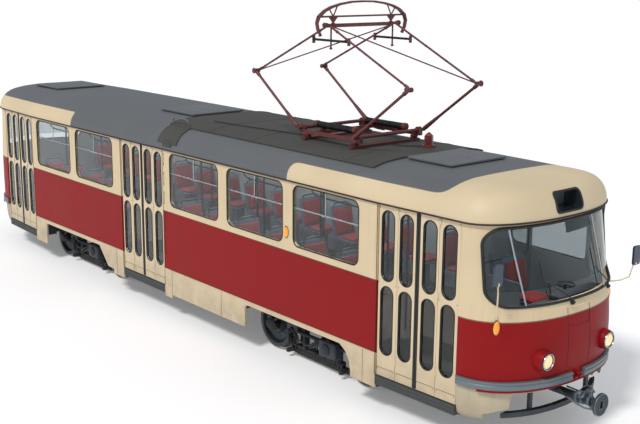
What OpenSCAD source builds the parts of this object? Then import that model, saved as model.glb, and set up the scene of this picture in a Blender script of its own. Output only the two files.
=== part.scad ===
// Four-axle single-car tram, millimetres.
// +X is the front, +Y the left side, +Z up. The origin is under the middle of the body, on the
// plane that the wheel flanges stand on. The doors are on the right side, at -Y.

/* [Body] */
// Length of the body over its two ends
body_l = 13840; // [13000:20:15400]
// Width over the side walls
body_w = 2500; // [2300:10:2700]
// Top of the roof's crown
roof_h = 3050; // [2950:10:3300]
// Top of the side walls, where the roof's edge sits
wall_top_z = 2650; // [2560:10:2720]
// Bottom of the side walls, where the skirts begin
wall_bottom_z = 770; // [720:10:800]
// Thickness of the side and end walls
wall_t = 60; // [40:1:80]
// Thickness of the roof at its crown
roof_t = 60; // [40:1:80]
// How far the roof's edge stands out past the walls
eave_out = 15; // [5:1:30]
// Narrowing of each side along an end door
end_taper = 57; // [30:1:80]
// Top of the saloon floor
floor_z = 900; // [880:5:960]
// Thickness of the floor slab
floor_t = 80; // [50:5:90]
// Height of the belt, where the windscreen starts
belt_z = 1720; // [1650:10:1800]

/* [Windows] */
// Width of a side window
window_w = 1275; // [1000:5:1350]
// Distance from one side window to the next
window_pitch = 1490; // [1420:5:1600]
// Sill of the side windows
window_sill_z = 1790; // [1700:5:1900]
// Head of the side windows
window_head_z = 2612; // [2500:2:2640]
// Corner radius of the side windows
window_r = 110; // [60:5:160]
// Thickness of the panes
glass_t = 8; // [5:1:12]
// Half width of the windscreen, round its corners
windscreen_half_w = 1110; // [1000:5:1130]
// Half width of the rear window
rear_window_half_w = 820; // [600:5:900]

/* [Doors] */
// Width of a doorway
door_w = 1270; // [1200:5:1340]
// Centre of the front doorway
front_door_x = 5479; // [5300:1:5600]
// Centre of the middle doorway
middle_door_x = -583; // [-650:1:-500]
// Centre of the rear doorway
rear_door_x = -5095; // [-5200:1:-5000]
// Bottom of the door leaves
leaf_bottom_z = 500; // [480:2:560]
// Thickness of a door leaf
leaf_t = 36; // [28:1:44]
// How far the leaves lie in from the wall's outer face
leaf_recess = 15; // [10:1:20]
// Bottom of the lower step
step_bottom_z = 370; // [340:5:400]
// Inner side of the stepwells
well_y = 600; // [560:5:700]

/* [Running gear] */
// Distance between the bogies' pivots
bogie_base = 6400; // [6200:10:6500]
// Middle between the two pivots
bogie_mid_x = 46; // [0:1:80]
// Distance between the two axles of a bogie
wheel_base = 1900; // [1800:10:1900]
// Diameter of the wheels' treads
wheel_d = 700; // [640:2:720]
// Height of the flanges past the tread
flange_h = 27; // [20:1:28]
// Distance between the inner sides of the two rails
gauge = 1435; // [1000:5:1435]
// Diameter of the axles
axle_d = 130; // [100:2:150]
// Diameter of the pivot pins
pivot_d = 120; // [90:2:150]
// Height of the couplers' middle
coupler_z = 560; // [520:5:600]

/* [Pantograph] */
// Middle of the pantograph
pan_x = 3156; // [2900:1:3300]
// Half distance between the two lower shafts
pan_half_base = 563; // [450:1:620]
// Height of the lower shafts
pan_shaft_z = 3222; // [3215:1:3260]
// Distance of a knee from the pantograph's middle, as it stands
pan_knee_x = 1529; // [1400:1:1650]
// Height of the knees, as it stands
pan_knee_z = 3925; // [3800:1:4100]
// Height of the apex, as it stands
pan_apex_z = 4626; // [4400:1:4900]
// Half width between the lower arms
pan_half_w = 635; // [560:1:700]

/* [Seats] */
// Distance from one seat to the next
seat_pitch = 745; // [700:5:800]
// Width of a seat
seat_w = 420; // [380:5:440]
// Distance of a seat's middle from the middle of the body
seat_y = 860; // [840:5:880]

/* [Hidden] */
$fn = 48;

seat_gap = 0.3;          // between pieces that rest on each other
run_gap = 6;             // between pieces that move past each other
eps = 1;                 // how far a cutter runs past what it cuts

half_w = body_w / 2;
nose_x = body_l / 2;
front_x = front_door_x + door_w / 2;      // where the front end begins
rear_x = rear_door_x - door_w / 2;        // where the rear end begins
end_half_w = half_w - end_taper;
floor_bottom_z = floor_z - floor_t;
front_bow = 2.2;         // roundness of the front end's plan: 2 is an ellipse, more is squarer
rear_bow = 1.9;          // the same for the rear end
slice_h = 0.1;           // thickness of the slices that the end shells are stretched over

// The front end's levels: height, how far the nose lies back, how far the sides lie in
FRONT_LEVELS = [[wall_bottom_z, 40, 0], [1200, 0, 0], [belt_z, 60, 0], [wall_top_z, 300, 14]];
// The rear end's levels, the same way
REAR_LEVELS = [[wall_bottom_z, 50, 0], [1200, 0, 0], [belt_z, 40, 0], [wall_top_z, 230, 14]];
// The roof's section: share of its rise, share of its half width, how far the ends lie back
ROOF_LEVELS = [
    [0, 1, 0], [0.32, 0.98, 40], [0.62, 0.905, 150], [0.83, 0.78, 320], [0.95, 0.6, 600],
    [1, 0.356, 1000]
];
brow_out = 60;           // how far the roof's front edge stands ahead of the windscreen's head
roof_rise = roof_h - wall_top_z;
roof_half_w = half_w + eave_out;
brow_x = nose_x - FRONT_LEVELS[3][1] + brow_out;
tail_x = nose_x - REAR_LEVELS[3][1] + brow_out;

// Points of a rounded end in plan: from x0 out to x0 + a, and b to each side
function bow(x0, a, b, n, steps = 10) = [
    for (i = [-steps:steps]) let (t = 90 * i / steps)
        [x0 + a * pow(cos(t), 2 / n), b * sign(i) * pow(abs(sin(t)), 2 / n)]
];
// How far out such an end is at y
function bow_x(y, x0, a, b, n) = x0 + a * pow(1 - pow(y / b, n), 1 / n);
function backward(points) = [for (i = [len(points) - 1:-1:0]) points[i]];
function turned(points) = [for (p = points) [-p[0], -p[1]]];

// The whole body in plan: noses at nf and nr, half width w, inset by t
function plan(nf, nr, w, t = 0) = concat(
    bow(front_x, nf - t - front_x, w - end_taper - t, front_bow),
    [[front_door_x - door_w / 2, w - t], [rear_door_x + door_w / 2, w - t]],
    turned(bow(-rear_x, nr - t + rear_x, w - end_taper - t, rear_bow)),
    [[rear_door_x + door_w / 2, t - w], [front_door_x - door_w / 2, t - w]]
);

module rod(a, b, r) {
    d = b - a;
    translate(a)
        rotate([0, acos(d[2] / norm(d)), atan2(d[1], d[0])])
            cylinder(h = norm(d), r = r);
}

module box(a, b) { translate(a) cube(b - a); }

module across(x, z, y0, y1, r) { translate([x, y0, z]) rotate([-90, 0, 0]) cylinder(h = y1 - y0, r = r); }

// A rounded rectangle from corner a to corner b
module rounded(a, b, r) {
    k = min(r, (b[0] - a[0]) / 2 - 0.01, (b[1] - a[1]) / 2 - 0.01);
    translate([a[0] + k, a[1]]) square([b[0] - a[0] - 2 * k, b[1] - a[1]]);
    translate([a[0], a[1] + k]) square([b[0] - a[0], b[1] - a[1] - 2 * k]);
    for (x = [a[0] + k, b[0] - k], z = [a[1] + k, b[1] - k]) translate([x, z]) circle(k);
}

// An outline drawn in X and Z, made solid from y0 to y1
module side_slab(y0, y1) {
    translate([0, y1, 0]) rotate([90, 0, 0]) linear_extrude(y1 - y0) children();
}

// An outline drawn in Y and Z, made solid from x0 to x1
module cross_slab(x0, x1) {
    translate([x0, 0, 0]) rotate([90, 0, 90]) linear_extrude(x1 - x0) children();
}

/* ---- body shell ---- */

// The front or rear end as a closed form, inset by t, from x0 outwards
module end_form(levels, x0, n, t = 0, back = 0, over = 0) {
    last = len(levels) - 1;
    hull()
        for (i = [0:last]) {
            lift = i == 0 ? -over : i == last ? over - slice_h : 0;
            b = end_half_w - levels[i][2] - t;
            translate([0, 0, levels[i][0] + lift])
                linear_extrude(slice_h)
                    polygon(concat(
                        bow(x0, nose_x - levels[i][1] - t - x0, b, n),
                        back > 0 ? [[x0 - back, b], [x0 - back, -b]] : []));
        }
}

module front_form(t = 0, back = 0, over = 0) { end_form(FRONT_LEVELS, front_x, front_bow, t, back, over); }

module rear_form(t = 0, back = 0, over = 0) {
    mirror([1, 0, 0]) end_form(REAR_LEVELS, -rear_x, rear_bow, t, back, over);
}

module windscreen_outline(c = 0) {
    rounded([-windscreen_half_w + c, belt_z + 15 + c], [windscreen_half_w - c, wall_top_z - 45 - c], 190);
}

module rear_window_outline(c = 0) {
    rounded([-rear_window_half_w + c, window_sill_z + c], [rear_window_half_w - c, window_head_z - 20 - c], 150);
}

module front_end() {
    color("firebrick")
        difference() {
            front_form();
            front_form(wall_t, 10, 5);
            cross_slab(front_x + 120, nose_x + eps) windscreen_outline();
        }
}

module rear_end() {
    color("firebrick")
        difference() {
            rear_form();
            rear_form(wall_t, 10, 5);
            cross_slab(-nose_x - eps, rear_x - 300) rear_window_outline();
        }
}

pane_in = 20;            // how far the panes lie in from the walls' outer faces
pane_gap = 0.5;          // between a pane and the edge of its opening

module windscreen() {
    color("lightslategray", 0.4)
        intersection() {
            difference() {
                front_form(pane_in);
                front_form(pane_in + glass_t, 10, 5);
            }
            cross_slab(front_x + 120 + pane_gap, nose_x) windscreen_outline(pane_gap);
        }
}

module rear_window() {
    color("lightslategray", 0.4)
        intersection() {
            difference() {
                rear_form(pane_in);
                rear_form(pane_in + glass_t, 10, 5);
            }
            cross_slab(-nose_x, rear_x - 300 - pane_gap) rear_window_outline(pane_gap);
        }
}

// Centres of the side windows, in rows between the doors
FRONT_ROW = [for (i = [0:2]) 3875 - i * window_pitch];
REAR_ROW = [for (i = [0:1]) -2120 - i * window_pitch];
LEFT_ROW = concat([front_door_x], FRONT_ROW, [middle_door_x], REAR_ROW, [rear_door_x]);

module window_at(x, c = 0, w = window_w) {
    rounded([x - w / 2 + c, window_sill_z + c], [x + w / 2 - c, window_head_z - c], window_r);
}

module right_wall(x0, x1, row) {
    color("firebrick")
        side_slab(-half_w, -half_w + wall_t)
            difference() {
                translate([x0, wall_bottom_z]) square([x1 - x0, wall_top_z - wall_bottom_z]);
                for (x = row) window_at(x);
            }
}

module right_wall_front() {
    right_wall(middle_door_x + door_w / 2, front_door_x - door_w / 2, FRONT_ROW);
}

module right_wall_rear() {
    right_wall(rear_door_x + door_w / 2, middle_door_x - door_w / 2, REAR_ROW);
}

// The left side in plan, from one end to the other, between the depths t0 and t1
function left_strip(t0, t1) = [
    [front_x, end_half_w - t0], [front_door_x - door_w / 2, half_w - t0],
    [rear_door_x + door_w / 2, half_w - t0], [rear_x, end_half_w - t0],
    [rear_x, end_half_w - t1], [rear_door_x + door_w / 2, half_w - t1],
    [front_door_x - door_w / 2, half_w - t1], [front_x, end_half_w - t1]
];

module left_wall() {
    color("firebrick")
        difference() {
            translate([0, 0, wall_bottom_z])
                linear_extrude(wall_top_z - wall_bottom_z) polygon(left_strip(0, wall_t));
            side_slab(half_w - wall_t - end_taper - eps, half_w + eps) for (x = LEFT_ROW) window_at(x);
        }
}

module side_windows() {
    color("lightslategray", 0.4) {
        for (x = concat(FRONT_ROW, REAR_ROW))
            side_slab(-half_w + pane_in, -half_w + pane_in + glass_t) window_at(x, pane_gap);
        intersection() {
            translate([0, 0, window_sill_z])
                linear_extrude(window_head_z - window_sill_z)
                    polygon(left_strip(pane_in, pane_in + glass_t));
            side_slab(0, half_w) for (x = LEFT_ROW) window_at(x, pane_gap);
        }
    }
}

// The roof as a closed form, grown by g and hollowed by t
module roof_form(t = 0, under = 0) {
    rise = roof_rise - (t > 0 ? roof_t : 0);
    hull()
        for (i = [0:len(ROOF_LEVELS) - 1]) {
            l = ROOF_LEVELS[i];
            z = wall_top_z + rise * l[0] + (i == 0 ? -under : 0) - (i == len(ROOF_LEVELS) - 1 ? slice_h : 0);
            translate([0, 0, z])
                linear_extrude(slice_h)
                    polygon(plan(brow_x - l[2], tail_x - l[2], roof_half_w * l[1], t));
        }
}

module roof() {
    color("dimgray")
        difference() {
            roof_form();
            roof_form(wall_t, 5);
        }
}

// Half of the roof's section at height share h, lifted by up: points from the eave to the crown
function roof_edge(up, low = 0) = [
    for (l = ROOF_LEVELS) if (l[0] >= low)
        [roof_half_w * l[1] + up * (1 - l[0]), wall_top_z + roof_rise * l[0] + up * l[0]]
];

module roof_walkway() {
    mat_t = 20;
    collar_t = 12;
    mat = roof_edge(mat_t, 0.8);
    mat_under = roof_edge(seat_gap, 0.8);
    collar = roof_edge(collar_t, 0.3);
    collar_under = roof_edge(seat_gap, 0.3);
    color([0.27, 0.26, 0.25]) {
        cross_slab(-100, 4490)
            polygon(concat(
                mat, [for (p = backward(mat)) [-p[0], p[1]]],
                [for (p = mat_under) [-p[0], p[1]]], backward(mat_under)));
        cross_slab(-50, 470)
            polygon(concat(
                [for (p = collar) [-p[0], p[1]]],
                [for (p = backward(collar_under)) [-p[0], p[1]]]));
    }
}

module roof_vents() {
    vent_w = 1000;
    vent_h = 40;
    // Centre and length of each vent's cover
    for (v = [[4930, 760], [-690, 960], [-5300, 960]])
        color("gray")
            box([v[0] - v[1] / 2, -vent_w / 2, roof_h + seat_gap],
                [v[0] + v[1] / 2, vent_w / 2, roof_h + vent_h]);
}

/* ---- floor, steps and skirts ---- */

step_h = 120;            // height of the lower step's edge
tread_z = step_bottom_z + step_h;
well_depth = 365;        // how far in the lower step reaches, clear of the folded leaves
leaf_stack = 150;        // width that a folded pair of leaves takes
panel_t = 20;            // thickness of the wells' panels
mid_tread_z = 690;
slab_inset = wall_t + seat_gap;
side_gap = 2;            // between a stepwell and the walls beside it

// Each doorway: centre and the turn of its plane
DOORS = [
    [front_door_x, atan2(end_taper, door_w)],
    [middle_door_x, 0],
    [rear_door_x, -atan2(end_taper, door_w)]
];

// Moves a doorway's own frame into place: its X runs along the doorway from its middle,
// its Y runs inwards from the wall's outer face
module at_door(d) {
    y = -half_w + (DOORS[d][1] == 0 ? 0 : end_taper / 2);
    translate([DOORS[d][0], y, 0]) rotate([0, 0, DOORS[d][1]]) children();
}

// The stepwell as a closed form, grown by g: wide at the leaves, narrow further in
module well_form(g, z0, z1) {
    deep = half_w - well_y;
    box([-door_w / 2 - g, -100, z0], [door_w / 2 + g, well_depth + g, z1]);
    box([-door_w / 2 + leaf_stack - g, 0, z0], [door_w / 2 - leaf_stack + g, deep + g, z1]);
}

module floor() {
    color("saddlebrown")
        difference() {
            translate([0, 0, floor_bottom_z])
                linear_extrude(floor_t) polygon(plan(nose_x - 60, nose_x - 70, half_w, slab_inset));
            for (d = [0:2]) at_door(d) well_form(panel_t + seat_gap, 0, roof_h);
        }
}

module door_steps() {
    deep = half_w - well_y;
    color("dimgray")
        for (d = [0:2])
            at_door(d)
                difference() {
                    union() {
                        difference() {
                            well_form(panel_t, step_bottom_z, floor_z);
                            well_form(0, tread_z, floor_z + eps);
                            box([-door_w / 2 - 50, -101, 0], [door_w / 2 + 50, 1, step_bottom_z + eps]);
                        }
                        box([-door_w / 2 + leaf_stack, well_depth, step_bottom_z],
                            [door_w / 2 - leaf_stack, deep, mid_tread_z]);
                    }
                    // the wells stop at the walls, but the lower step reaches the outer face
                    box([-door_w, -101, tread_z], [door_w, wall_t + side_gap, floor_z + eps]);
                    box([-door_w, -101, 0], [-door_w / 2 + side_gap, wall_t + side_gap, roof_h]);
                    box([door_w / 2 - side_gap, -101, 0], [door_w, wall_t + side_gap, roof_h]);
                    box([-door_w, -101, 0], [door_w, 0, roof_h]);
                    // the lower step is a deep tray, not a block
                    box([-door_w / 2 + panel_t, 40, step_bottom_z - eps],
                        [door_w / 2 - panel_t, well_depth - panel_t, tread_z - 25]);
                    box([-door_w / 2 + leaf_stack + panel_t, well_depth + panel_t, step_bottom_z - eps],
                        [door_w / 2 - leaf_stack - panel_t, deep - panel_t, mid_tread_z - 25]);
                }
}

skirt_t = 30;
arch_z = 710;            // top of the openings over the bogies
front_bogie_x = bogie_mid_x + bogie_base / 2;
rear_bogie_x = bogie_mid_x - bogie_base / 2;

// The openings over the two bogies, seen from the side
module bogie_arches() {
    front_arch = [
        [front_bogie_x - 1086, 0], [front_bogie_x - 1086, arch_z - 40],
        [front_bogie_x - 1046, arch_z], [front_bogie_x + 937, arch_z],
        [front_bogie_x + 1050, 640], [front_bogie_x + 1120, 530], [front_bogie_x + 1150, 400],
        [front_bogie_x + 1152, 0]
    ];
    rear_arch = [
        [rear_bogie_x - 876, 0], [rear_bogie_x - 876, arch_z], [rear_bogie_x + 1120, arch_z],
        [rear_bogie_x + 1316, 500], [rear_bogie_x + 1400, 405], [rear_bogie_x + 1600, 390],
        [rear_bogie_x + 1604, 0]
    ];
    polygon(front_arch);
    polygon(rear_arch);
}

module skirt_outline(x0, x1, bottom) {
    difference() {
        translate([x0, bottom]) square([x1 - x0, wall_bottom_z - bottom]);
        bogie_arches();
    }
}

module skirts() {
    mid_bottom = 380;
    post_w = 200;
    color("wheat") {
        side_slab(-half_w, -half_w + skirt_t) {
            difference() {
                skirt_outline(middle_door_x + door_w / 2, front_door_x - door_w / 2, 325);
                translate([middle_door_x + door_w / 2 + post_w, 0]) square([2100, mid_bottom]);
            }
            skirt_outline(rear_door_x + door_w / 2, middle_door_x - door_w / 2, 320);
        }
        difference() {
            translate([0, 0, mid_bottom])
                linear_extrude(wall_bottom_z - mid_bottom) polygon(left_strip(0, skirt_t));
            side_slab(0, half_w + eps) bogie_arches();
        }
    }
}

apron_bottom_z = 390;
apron_gap = 860;         // half of the opening for the coupler

module apron(sgn) {
    n = sgn > 0 ? front_bow : rear_bow;
    x0 = sgn > 0 ? front_x : -rear_x;
    nose = nose_x - (sgn > 0 ? FRONT_LEVELS : REAR_LEVELS)[0][1];
    mirror([sgn > 0 ? 0 : 1, 0, 0])
        difference() {
            translate([0, 0, apron_bottom_z])
                linear_extrude(wall_bottom_z - apron_bottom_z)
                    difference() {
                        polygon(bow(x0, nose - 30 - x0, end_half_w - 10, n));
                        polygon(bow(x0 - eps, nose - 70 - x0, end_half_w - 50, n));
                        translate([x0 - 2 * eps, -end_half_w + 45]) square([3 * eps, 2 * end_half_w - 90]);
                    }
            box([x0 + 200, -apron_gap, 0], [nose_x, apron_gap, 715]);
            cross_slab(x0 + 340, nose_x)
                polygon([[-end_half_w, 0], [-end_half_w, 430], [-apron_gap, 540], [apron_gap, 540],
                         [end_half_w, 430], [end_half_w, 0]]);
        }
}

module aprons() {
    color("wheat") {
        apron(1);
        apron(-1);
    }
}

bumper_z0 = 772;
bumper_z1 = 880;
bumper_out = 45;         // how far the bumpers stand out past the body
bumper_gap = 110;        // half of the gap at the towing eye
bumper_seat = 0.9;       // between the bumpers and the end shells, whose facets bulge a little

module bumper(sgn) {
    levels = sgn > 0 ? FRONT_LEVELS : REAR_LEVELS;
    n = sgn > 0 ? front_bow : rear_bow;
    x0 = sgn > 0 ? front_x : -rear_x;
    lean = (levels[0][1] - levels[1][1]) * (bumper_z1 - levels[0][0]) / (levels[1][0] - levels[0][0]);
    nose = nose_x - levels[0][1] + lean + bumper_seat;
    mirror([sgn > 0 ? 0 : 1, 0, 0])
        translate([0, 0, bumper_z0])
            linear_extrude(bumper_z1 - bumper_z0)
                difference() {
                    polygon(bow(x0 + 10, nose + bumper_out - x0, end_half_w + bumper_out - 12, n + 0.2));
                    polygon(bow(x0, nose - x0, end_half_w + bumper_seat, n));
                    translate([x0, -bumper_gap]) square([nose_x, 2 * bumper_gap]);
                    translate([0, -end_half_w - 100]) square([x0 + 12, 2 * end_half_w + 200]);
                }
}

module bumpers() {
    color("slategray") {
        bumper(1);
        bumper(-1);
    }
}

buffer_x = nose_x - 570;     // the couplers' pins
wheel_r = wheel_d / 2;
axle_z = wheel_r + flange_h;
pivot_bottom_z = 600;

// The beam that each coupler rests over follows the end's plan, hung from the floor by two legs
module guard_beam(sgn) {
    n = sgn > 0 ? front_bow : rear_bow;
    x0 = sgn > 0 ? front_x : -rear_x;
    nose = nose_x - (sgn > 0 ? FRONT_LEVELS : REAR_LEVELS)[0][1];
    inset = 100;
    beam_t = 60;
    leg_y = 530;
    leg_x = bow_x(leg_y, x0, nose - inset - x0, end_half_w - inset, n) - beam_t;
    mirror([sgn > 0 ? 0 : 1, 0, 0]) {
        translate([0, 0, 400])
            linear_extrude(60)
                difference() {
                    polygon(bow(x0, nose - inset - x0, end_half_w - inset, n));
                    polygon(bow(x0 - eps, nose - inset - beam_t - x0, end_half_w - inset - beam_t, n));
                    translate([0, -half_w]) square([x0 + 420, body_w]);
                }
        for (s = [-1, 1])
            box([leg_x - 15, s * leg_y - 25, 400], [leg_x + 25, s * leg_y + 25, floor_bottom_z]);
    }
}

module underframe() {
    mid_x0 = rear_bogie_x + 1560;
    mid_x1 = front_bogie_x - 1560;
    color([0.18, 0.22, 0.26]) {
        for (y = [-400, 400])
            box([mid_x0, y - 50, 620], [mid_x1, y + 50, floor_bottom_z]);
        for (x = [mid_x0, mid_x1 - 100])
            box([x, -450, 620], [x + 100, 450, floor_bottom_z]);
        // boxes for resistors and batteries, hung between the sills and the left skirt
        for (x = [mid_x0 + 250, mid_x0 + 1150, mid_x0 + 2050])
            box([x, 450, 430], [x + 700, 1050, floor_bottom_z]);
        box([mid_x0 + 1900, -1000, 430], [mid_x1 - 50, -450, floor_bottom_z]);
        for (x = [front_bogie_x, rear_bogie_x])
            translate([x, 0, pivot_bottom_z])
                cylinder(h = floor_bottom_z - pivot_bottom_z, d = pivot_d);
        for (s = [-1, 1])
            mirror([s > 0 ? 0 : 1, 0, 0]) {
                box([buffer_x - 650, -110, 640], [buffer_x + 90, 110, floor_bottom_z]);
                translate([buffer_x, 0, coupler_z - 60]) cylinder(h = 150, d = 60);
            }
        guard_beam(1);
        guard_beam(-1);
    }
}

/* ---- lamps, sign and mirrors ---- */

headlight_y = 570;
headlight_z = 1110;
headlight_r = 105;

module headlights() {
    color("gold")
        difference() {
            for (y = [-headlight_y, headlight_y])
                translate([nose_x - 190, y, headlight_z])
                    rotate([0, 90, 0]) cylinder(h = 200, r = headlight_r);
            front_form(-seat_gap);
        }
}

module marker_lamps() {
    color("orange") {
        for (s = [-1, 1]) mirror([0, s > 0 ? 0 : 1, 0]) translate([3100, half_w + seat_gap, 1950])
            rotate([-90, 0, 0]) cylinder(h = 25, r = 50);
        difference() {
            for (s = [-1, 1]) mirror([0, s > 0 ? 0 : 1, 0]) translate([front_x + 330, end_half_w - 190, 1500])
                rotate([-90, 0, -24]) cylinder(h = 130, r = 55);
            front_form(-seat_gap);
        }
    }
    color("red")
        difference() {
            for (y = [-640, 640], z = [1050, 1250])
                translate([-nose_x + 330, y, z]) rotate([0, -90, 0]) cylinder(h = 200, r = 70);
            rear_form(-seat_gap);
        }
}

sign_w = 480;

module destination_sign() {
    color([0.15, 0.17, 0.2])
        difference() {
            box([brow_x - 180, -sign_w / 2, wall_top_z + 45], [brow_x - 5, sign_w / 2, wall_top_z + 295]);
            translate([0, 0, -seat_gap / 2]) roof_form();
            translate([seat_gap, 0, seat_gap]) roof_form();
        }
}

mirror_x = nose_x - 205;

// Each mirror: side, middle across, middle height
module mirrors() {
    color([0.12, 0.2, 0.3])
        difference() {
            for (m = [[-1, 1262, 2190], [1, 1320, 1975]])
                mirror([0, m[0] > 0 ? 0 : 1, 0]) {
                    box([mirror_x - 15, m[1] - 70, m[2] - 120], [mirror_x + 15, m[1] + 70, m[2] + 120]);
                    rod([mirror_x, m[1] - 10, m[2] - 100], [mirror_x - 40, m[1] - 60, 1680], 10);
                    rod([mirror_x - 35, m[1] - 52, 1681], [mirror_x - 250, 900, 1640], 13);
                }
            front_form(-seat_gap);
        }
}

/* ---- saloon ---- */

shell_t = 22;
seat_h = 430;            // height of the pan above the floor
back_h = 900;            // top of the backrest above the floor

// The front of a backrest at height h above the floor
function back_x(h) = -205 - (h - seat_h) * 0.2;

LEFT_SEATS = [for (i = [0:13]) [-5350 + i * seat_pitch, seat_y, 0]];
RIGHT_SEATS = [for (i = [0:5]) [500 + i * seat_pitch, -seat_y, 0]];
REAR_SEATS = [for (i = [0:3]) [-4100 + i * seat_pitch, -seat_y, 0]];
DRIVER_SEAT = [5850, 420, 60];
ALL_SEATS = concat(LEFT_SEATS, RIGHT_SEATS, REAR_SEATS, [DRIVER_SEAT]);

module seats() {
    color("lightsteelblue")
        for (s = ALL_SEATS)
            translate([s[0], s[1], floor_z + seat_gap]) {
                translate([0, 0, s[2]])
                    side_slab(-seat_w / 2, seat_w / 2)
                        polygon([
                            [220, seat_h], [220, seat_h - shell_t], [-200, seat_h - shell_t],
                            [back_x(seat_h) - shell_t, seat_h], [back_x(back_h) - shell_t, back_h],
                            [back_x(back_h), back_h], [back_x(seat_h), seat_h]
                        ]);
                box([-60, -90, 0], [40, 90, seat_h - shell_t + 1 + s[2]]);
                box([-140, -140, 0], [120, 140, 12]);
            }
}

module seat_cushions() {
    pad_t = 45;
    side = 15;
    w = seat_w / 2 - side;
    color("crimson")
        for (s = ALL_SEATS)
            translate([s[0], s[1], floor_z + seat_gap + s[2]]) {
                box([-150, -w, seat_h + seat_gap], [212, w, seat_h + seat_gap + pad_t]);
                side_slab(-w, w)
                    polygon([
                        [back_x(seat_h + 20) + seat_gap, seat_h + 20],
                        [back_x(seat_h + 20) + pad_t - 5, seat_h + 20],
                        [back_x(back_h - 20) + pad_t - 5, back_h - 20],
                        [back_x(back_h - 20) + seat_gap, back_h - 20]
                    ]);
            }
}

module driver_desk() {
    color([0.2, 0.25, 0.27])
        difference() {
            translate([0, 0, floor_z + seat_gap])
                linear_extrude(700)
                    intersection() {
                        polygon(bow(front_x, nose_x - 70 - wall_t - front_x, end_half_w - wall_t - 10, front_bow));
                        translate([nose_x - 520, -500]) square([600, 1600]);
                    }
            box([nose_x - 600, 130, floor_z - eps], [nose_x - 250, 710, floor_z + 600]);
        }
}

partition_x = 5230;
partition_top_z = 2560;

module cab_partition() {
    color("lightsteelblue") {
        difference() {
            box([partition_x, -150, floor_z + seat_gap], [partition_x + 30, half_w - wall_t - 40, partition_top_z]);
            cross_slab(partition_x - eps, partition_x + 31)
                rounded([-80, 1750], [half_w - wall_t - 120, 2480], 60);
        }
        box([partition_x + 29, -150, floor_z + seat_gap], [partition_x + 900, -125, 1750]);
    }
}

rail_y = 610;
rail_z = 2480;
rail_r = 17;

module handrails() {
    poles = [-4350, -3000, -1330, 170, 1620, 3110, 4720];
    color("black")
        for (y = [-rail_y, rail_y]) {
            translate([poles[0] - 900, y, rail_z])
                rotate([0, 90, 0]) cylinder(h = poles[6] - poles[0] + 1000, r = rail_r);
            for (x = poles)
                translate([x, y, floor_z + seat_gap])
                    cylinder(h = rail_z - floor_z - seat_gap, r = rail_r);
        }
}

/* ---- pantograph ---- */

deck_z = roof_h + 20 + seat_gap;     // top of the walkway's mat
base_y = 545;                        // middle of the base's two rails
rail_top_z = 3195;
shaft_r = 25;
pin_r = 10;
pin_gap = 0.1;
arm_r = 19;
upper_r = 14;
upper_y = pan_half_w - 38;           // middle of the upper arms' eyes
apex_r = 18;
face_gap = 0.3;
knee_in = 22;            // from the middle of a lower arm to the face of its knee

module pantograph_base() {
    color([0.4, 0.16, 0.15])
        translate([pan_x, 0, 0])
            difference() {
                union() {
                    for (x = [-480, 480]) {
                        box([x - 40, -620, deck_z], [x + 40, 620, deck_z + 30]);
                        for (y = [-base_y, base_y])
                            translate([x, y, deck_z + 29]) cylinder(h = 3151 - deck_z - 29, r = 42);
                    }
                    for (y = [-base_y, base_y])
                        box([-600, y - 30, 3150], [600, y + 30, rail_top_z]);
                    for (x = [-330, 330])
                        box([x - 25, -base_y, 3150], [x + 25, base_y, rail_top_z]);
                    for (x = [-pan_half_base, pan_half_base], y = [-base_y, base_y]) {
                        across(x, pan_shaft_z, y - 30, y + 30, 45);
                        box([x - 45, y - 30, 3150], [x + 45, y + 30, pan_shaft_z]);
                    }
                    // saddles that carry the springs
                    for (y = [-390, 390], x = [-330, 330])
                        box([x - 20, y - 40, rail_top_z - 1], [x + 20, y + 40, 3225]);
                }
                for (x = [-pan_half_base, pan_half_base])
                    across(x, pan_shaft_z, -700, 700, shaft_r + pin_gap);
            }
}

module pantograph_springs() {
    spring_r = 42;
    color([0.1, 0.1, 0.11])
        translate([pan_x, 0, 3225 + seat_gap + spring_r])
            for (s = [-1, 1])
                translate([s > 0 ? -350 : -480, s * 390, 0])
                    rotate([0, 90, 0]) cylinder(h = 830, r = spring_r);
}

module surge_arrester() {
    color("indianred")
        translate([4150, 300, deck_z]) {
            cylinder(h = 25, r = 80);
            for (i = [0:4]) translate([0, 0, 25 + i * 25]) cylinder(h = 12, r = 62);
            cylinder(h = 150, r = 42);
            translate([0, 0, 150]) cylinder(h = 45, r1 = 60, r2 = 10);
        }
}

knee_dx = pan_knee_x - pan_half_base;
eye_r = 30;

// One lower frame, drawn for the front side
module lower_frame() {
    color([0.4, 0.16, 0.15]) {
        across(pan_half_base, pan_shaft_z, -pan_half_w - 20, pan_half_w + 20, shaft_r);
        for (s = [-1, 1]) mirror([0, s > 0 ? 0 : 1, 0]) {
            rod([pan_half_base, pan_half_w, pan_shaft_z], [pan_knee_x, pan_half_w, pan_knee_z], arm_r);
            across(pan_knee_x, pan_knee_z, pan_half_w - knee_in, pan_half_w + 22, eye_r);
            across(pan_knee_x, pan_knee_z, upper_y - 20, pan_half_w, pin_r);
        }
    }
}

module knee_eyes() {
    for (s = [-1, 1]) mirror([0, s > 0 ? 0 : 1, 0])
        across(pan_knee_x, pan_knee_z, upper_y - 18, pan_half_w - knee_in - face_gap, eye_r);
}

module knee_bores() {
    for (s = [-1, 1]) mirror([0, s > 0 ? 0 : 1, 0])
        across(pan_knee_x, pan_knee_z, upper_y - 60, pan_half_w, pin_r + pin_gap);
}

// A point on the line from the knee to the apex, d short of the apex
function short_of_apex(d, y) = let (
    r = pan_apex_z - pan_knee_z, l = norm([pan_knee_x, r])
) [pan_knee_x * d / l, y, pan_apex_z - r * d / l];

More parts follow.
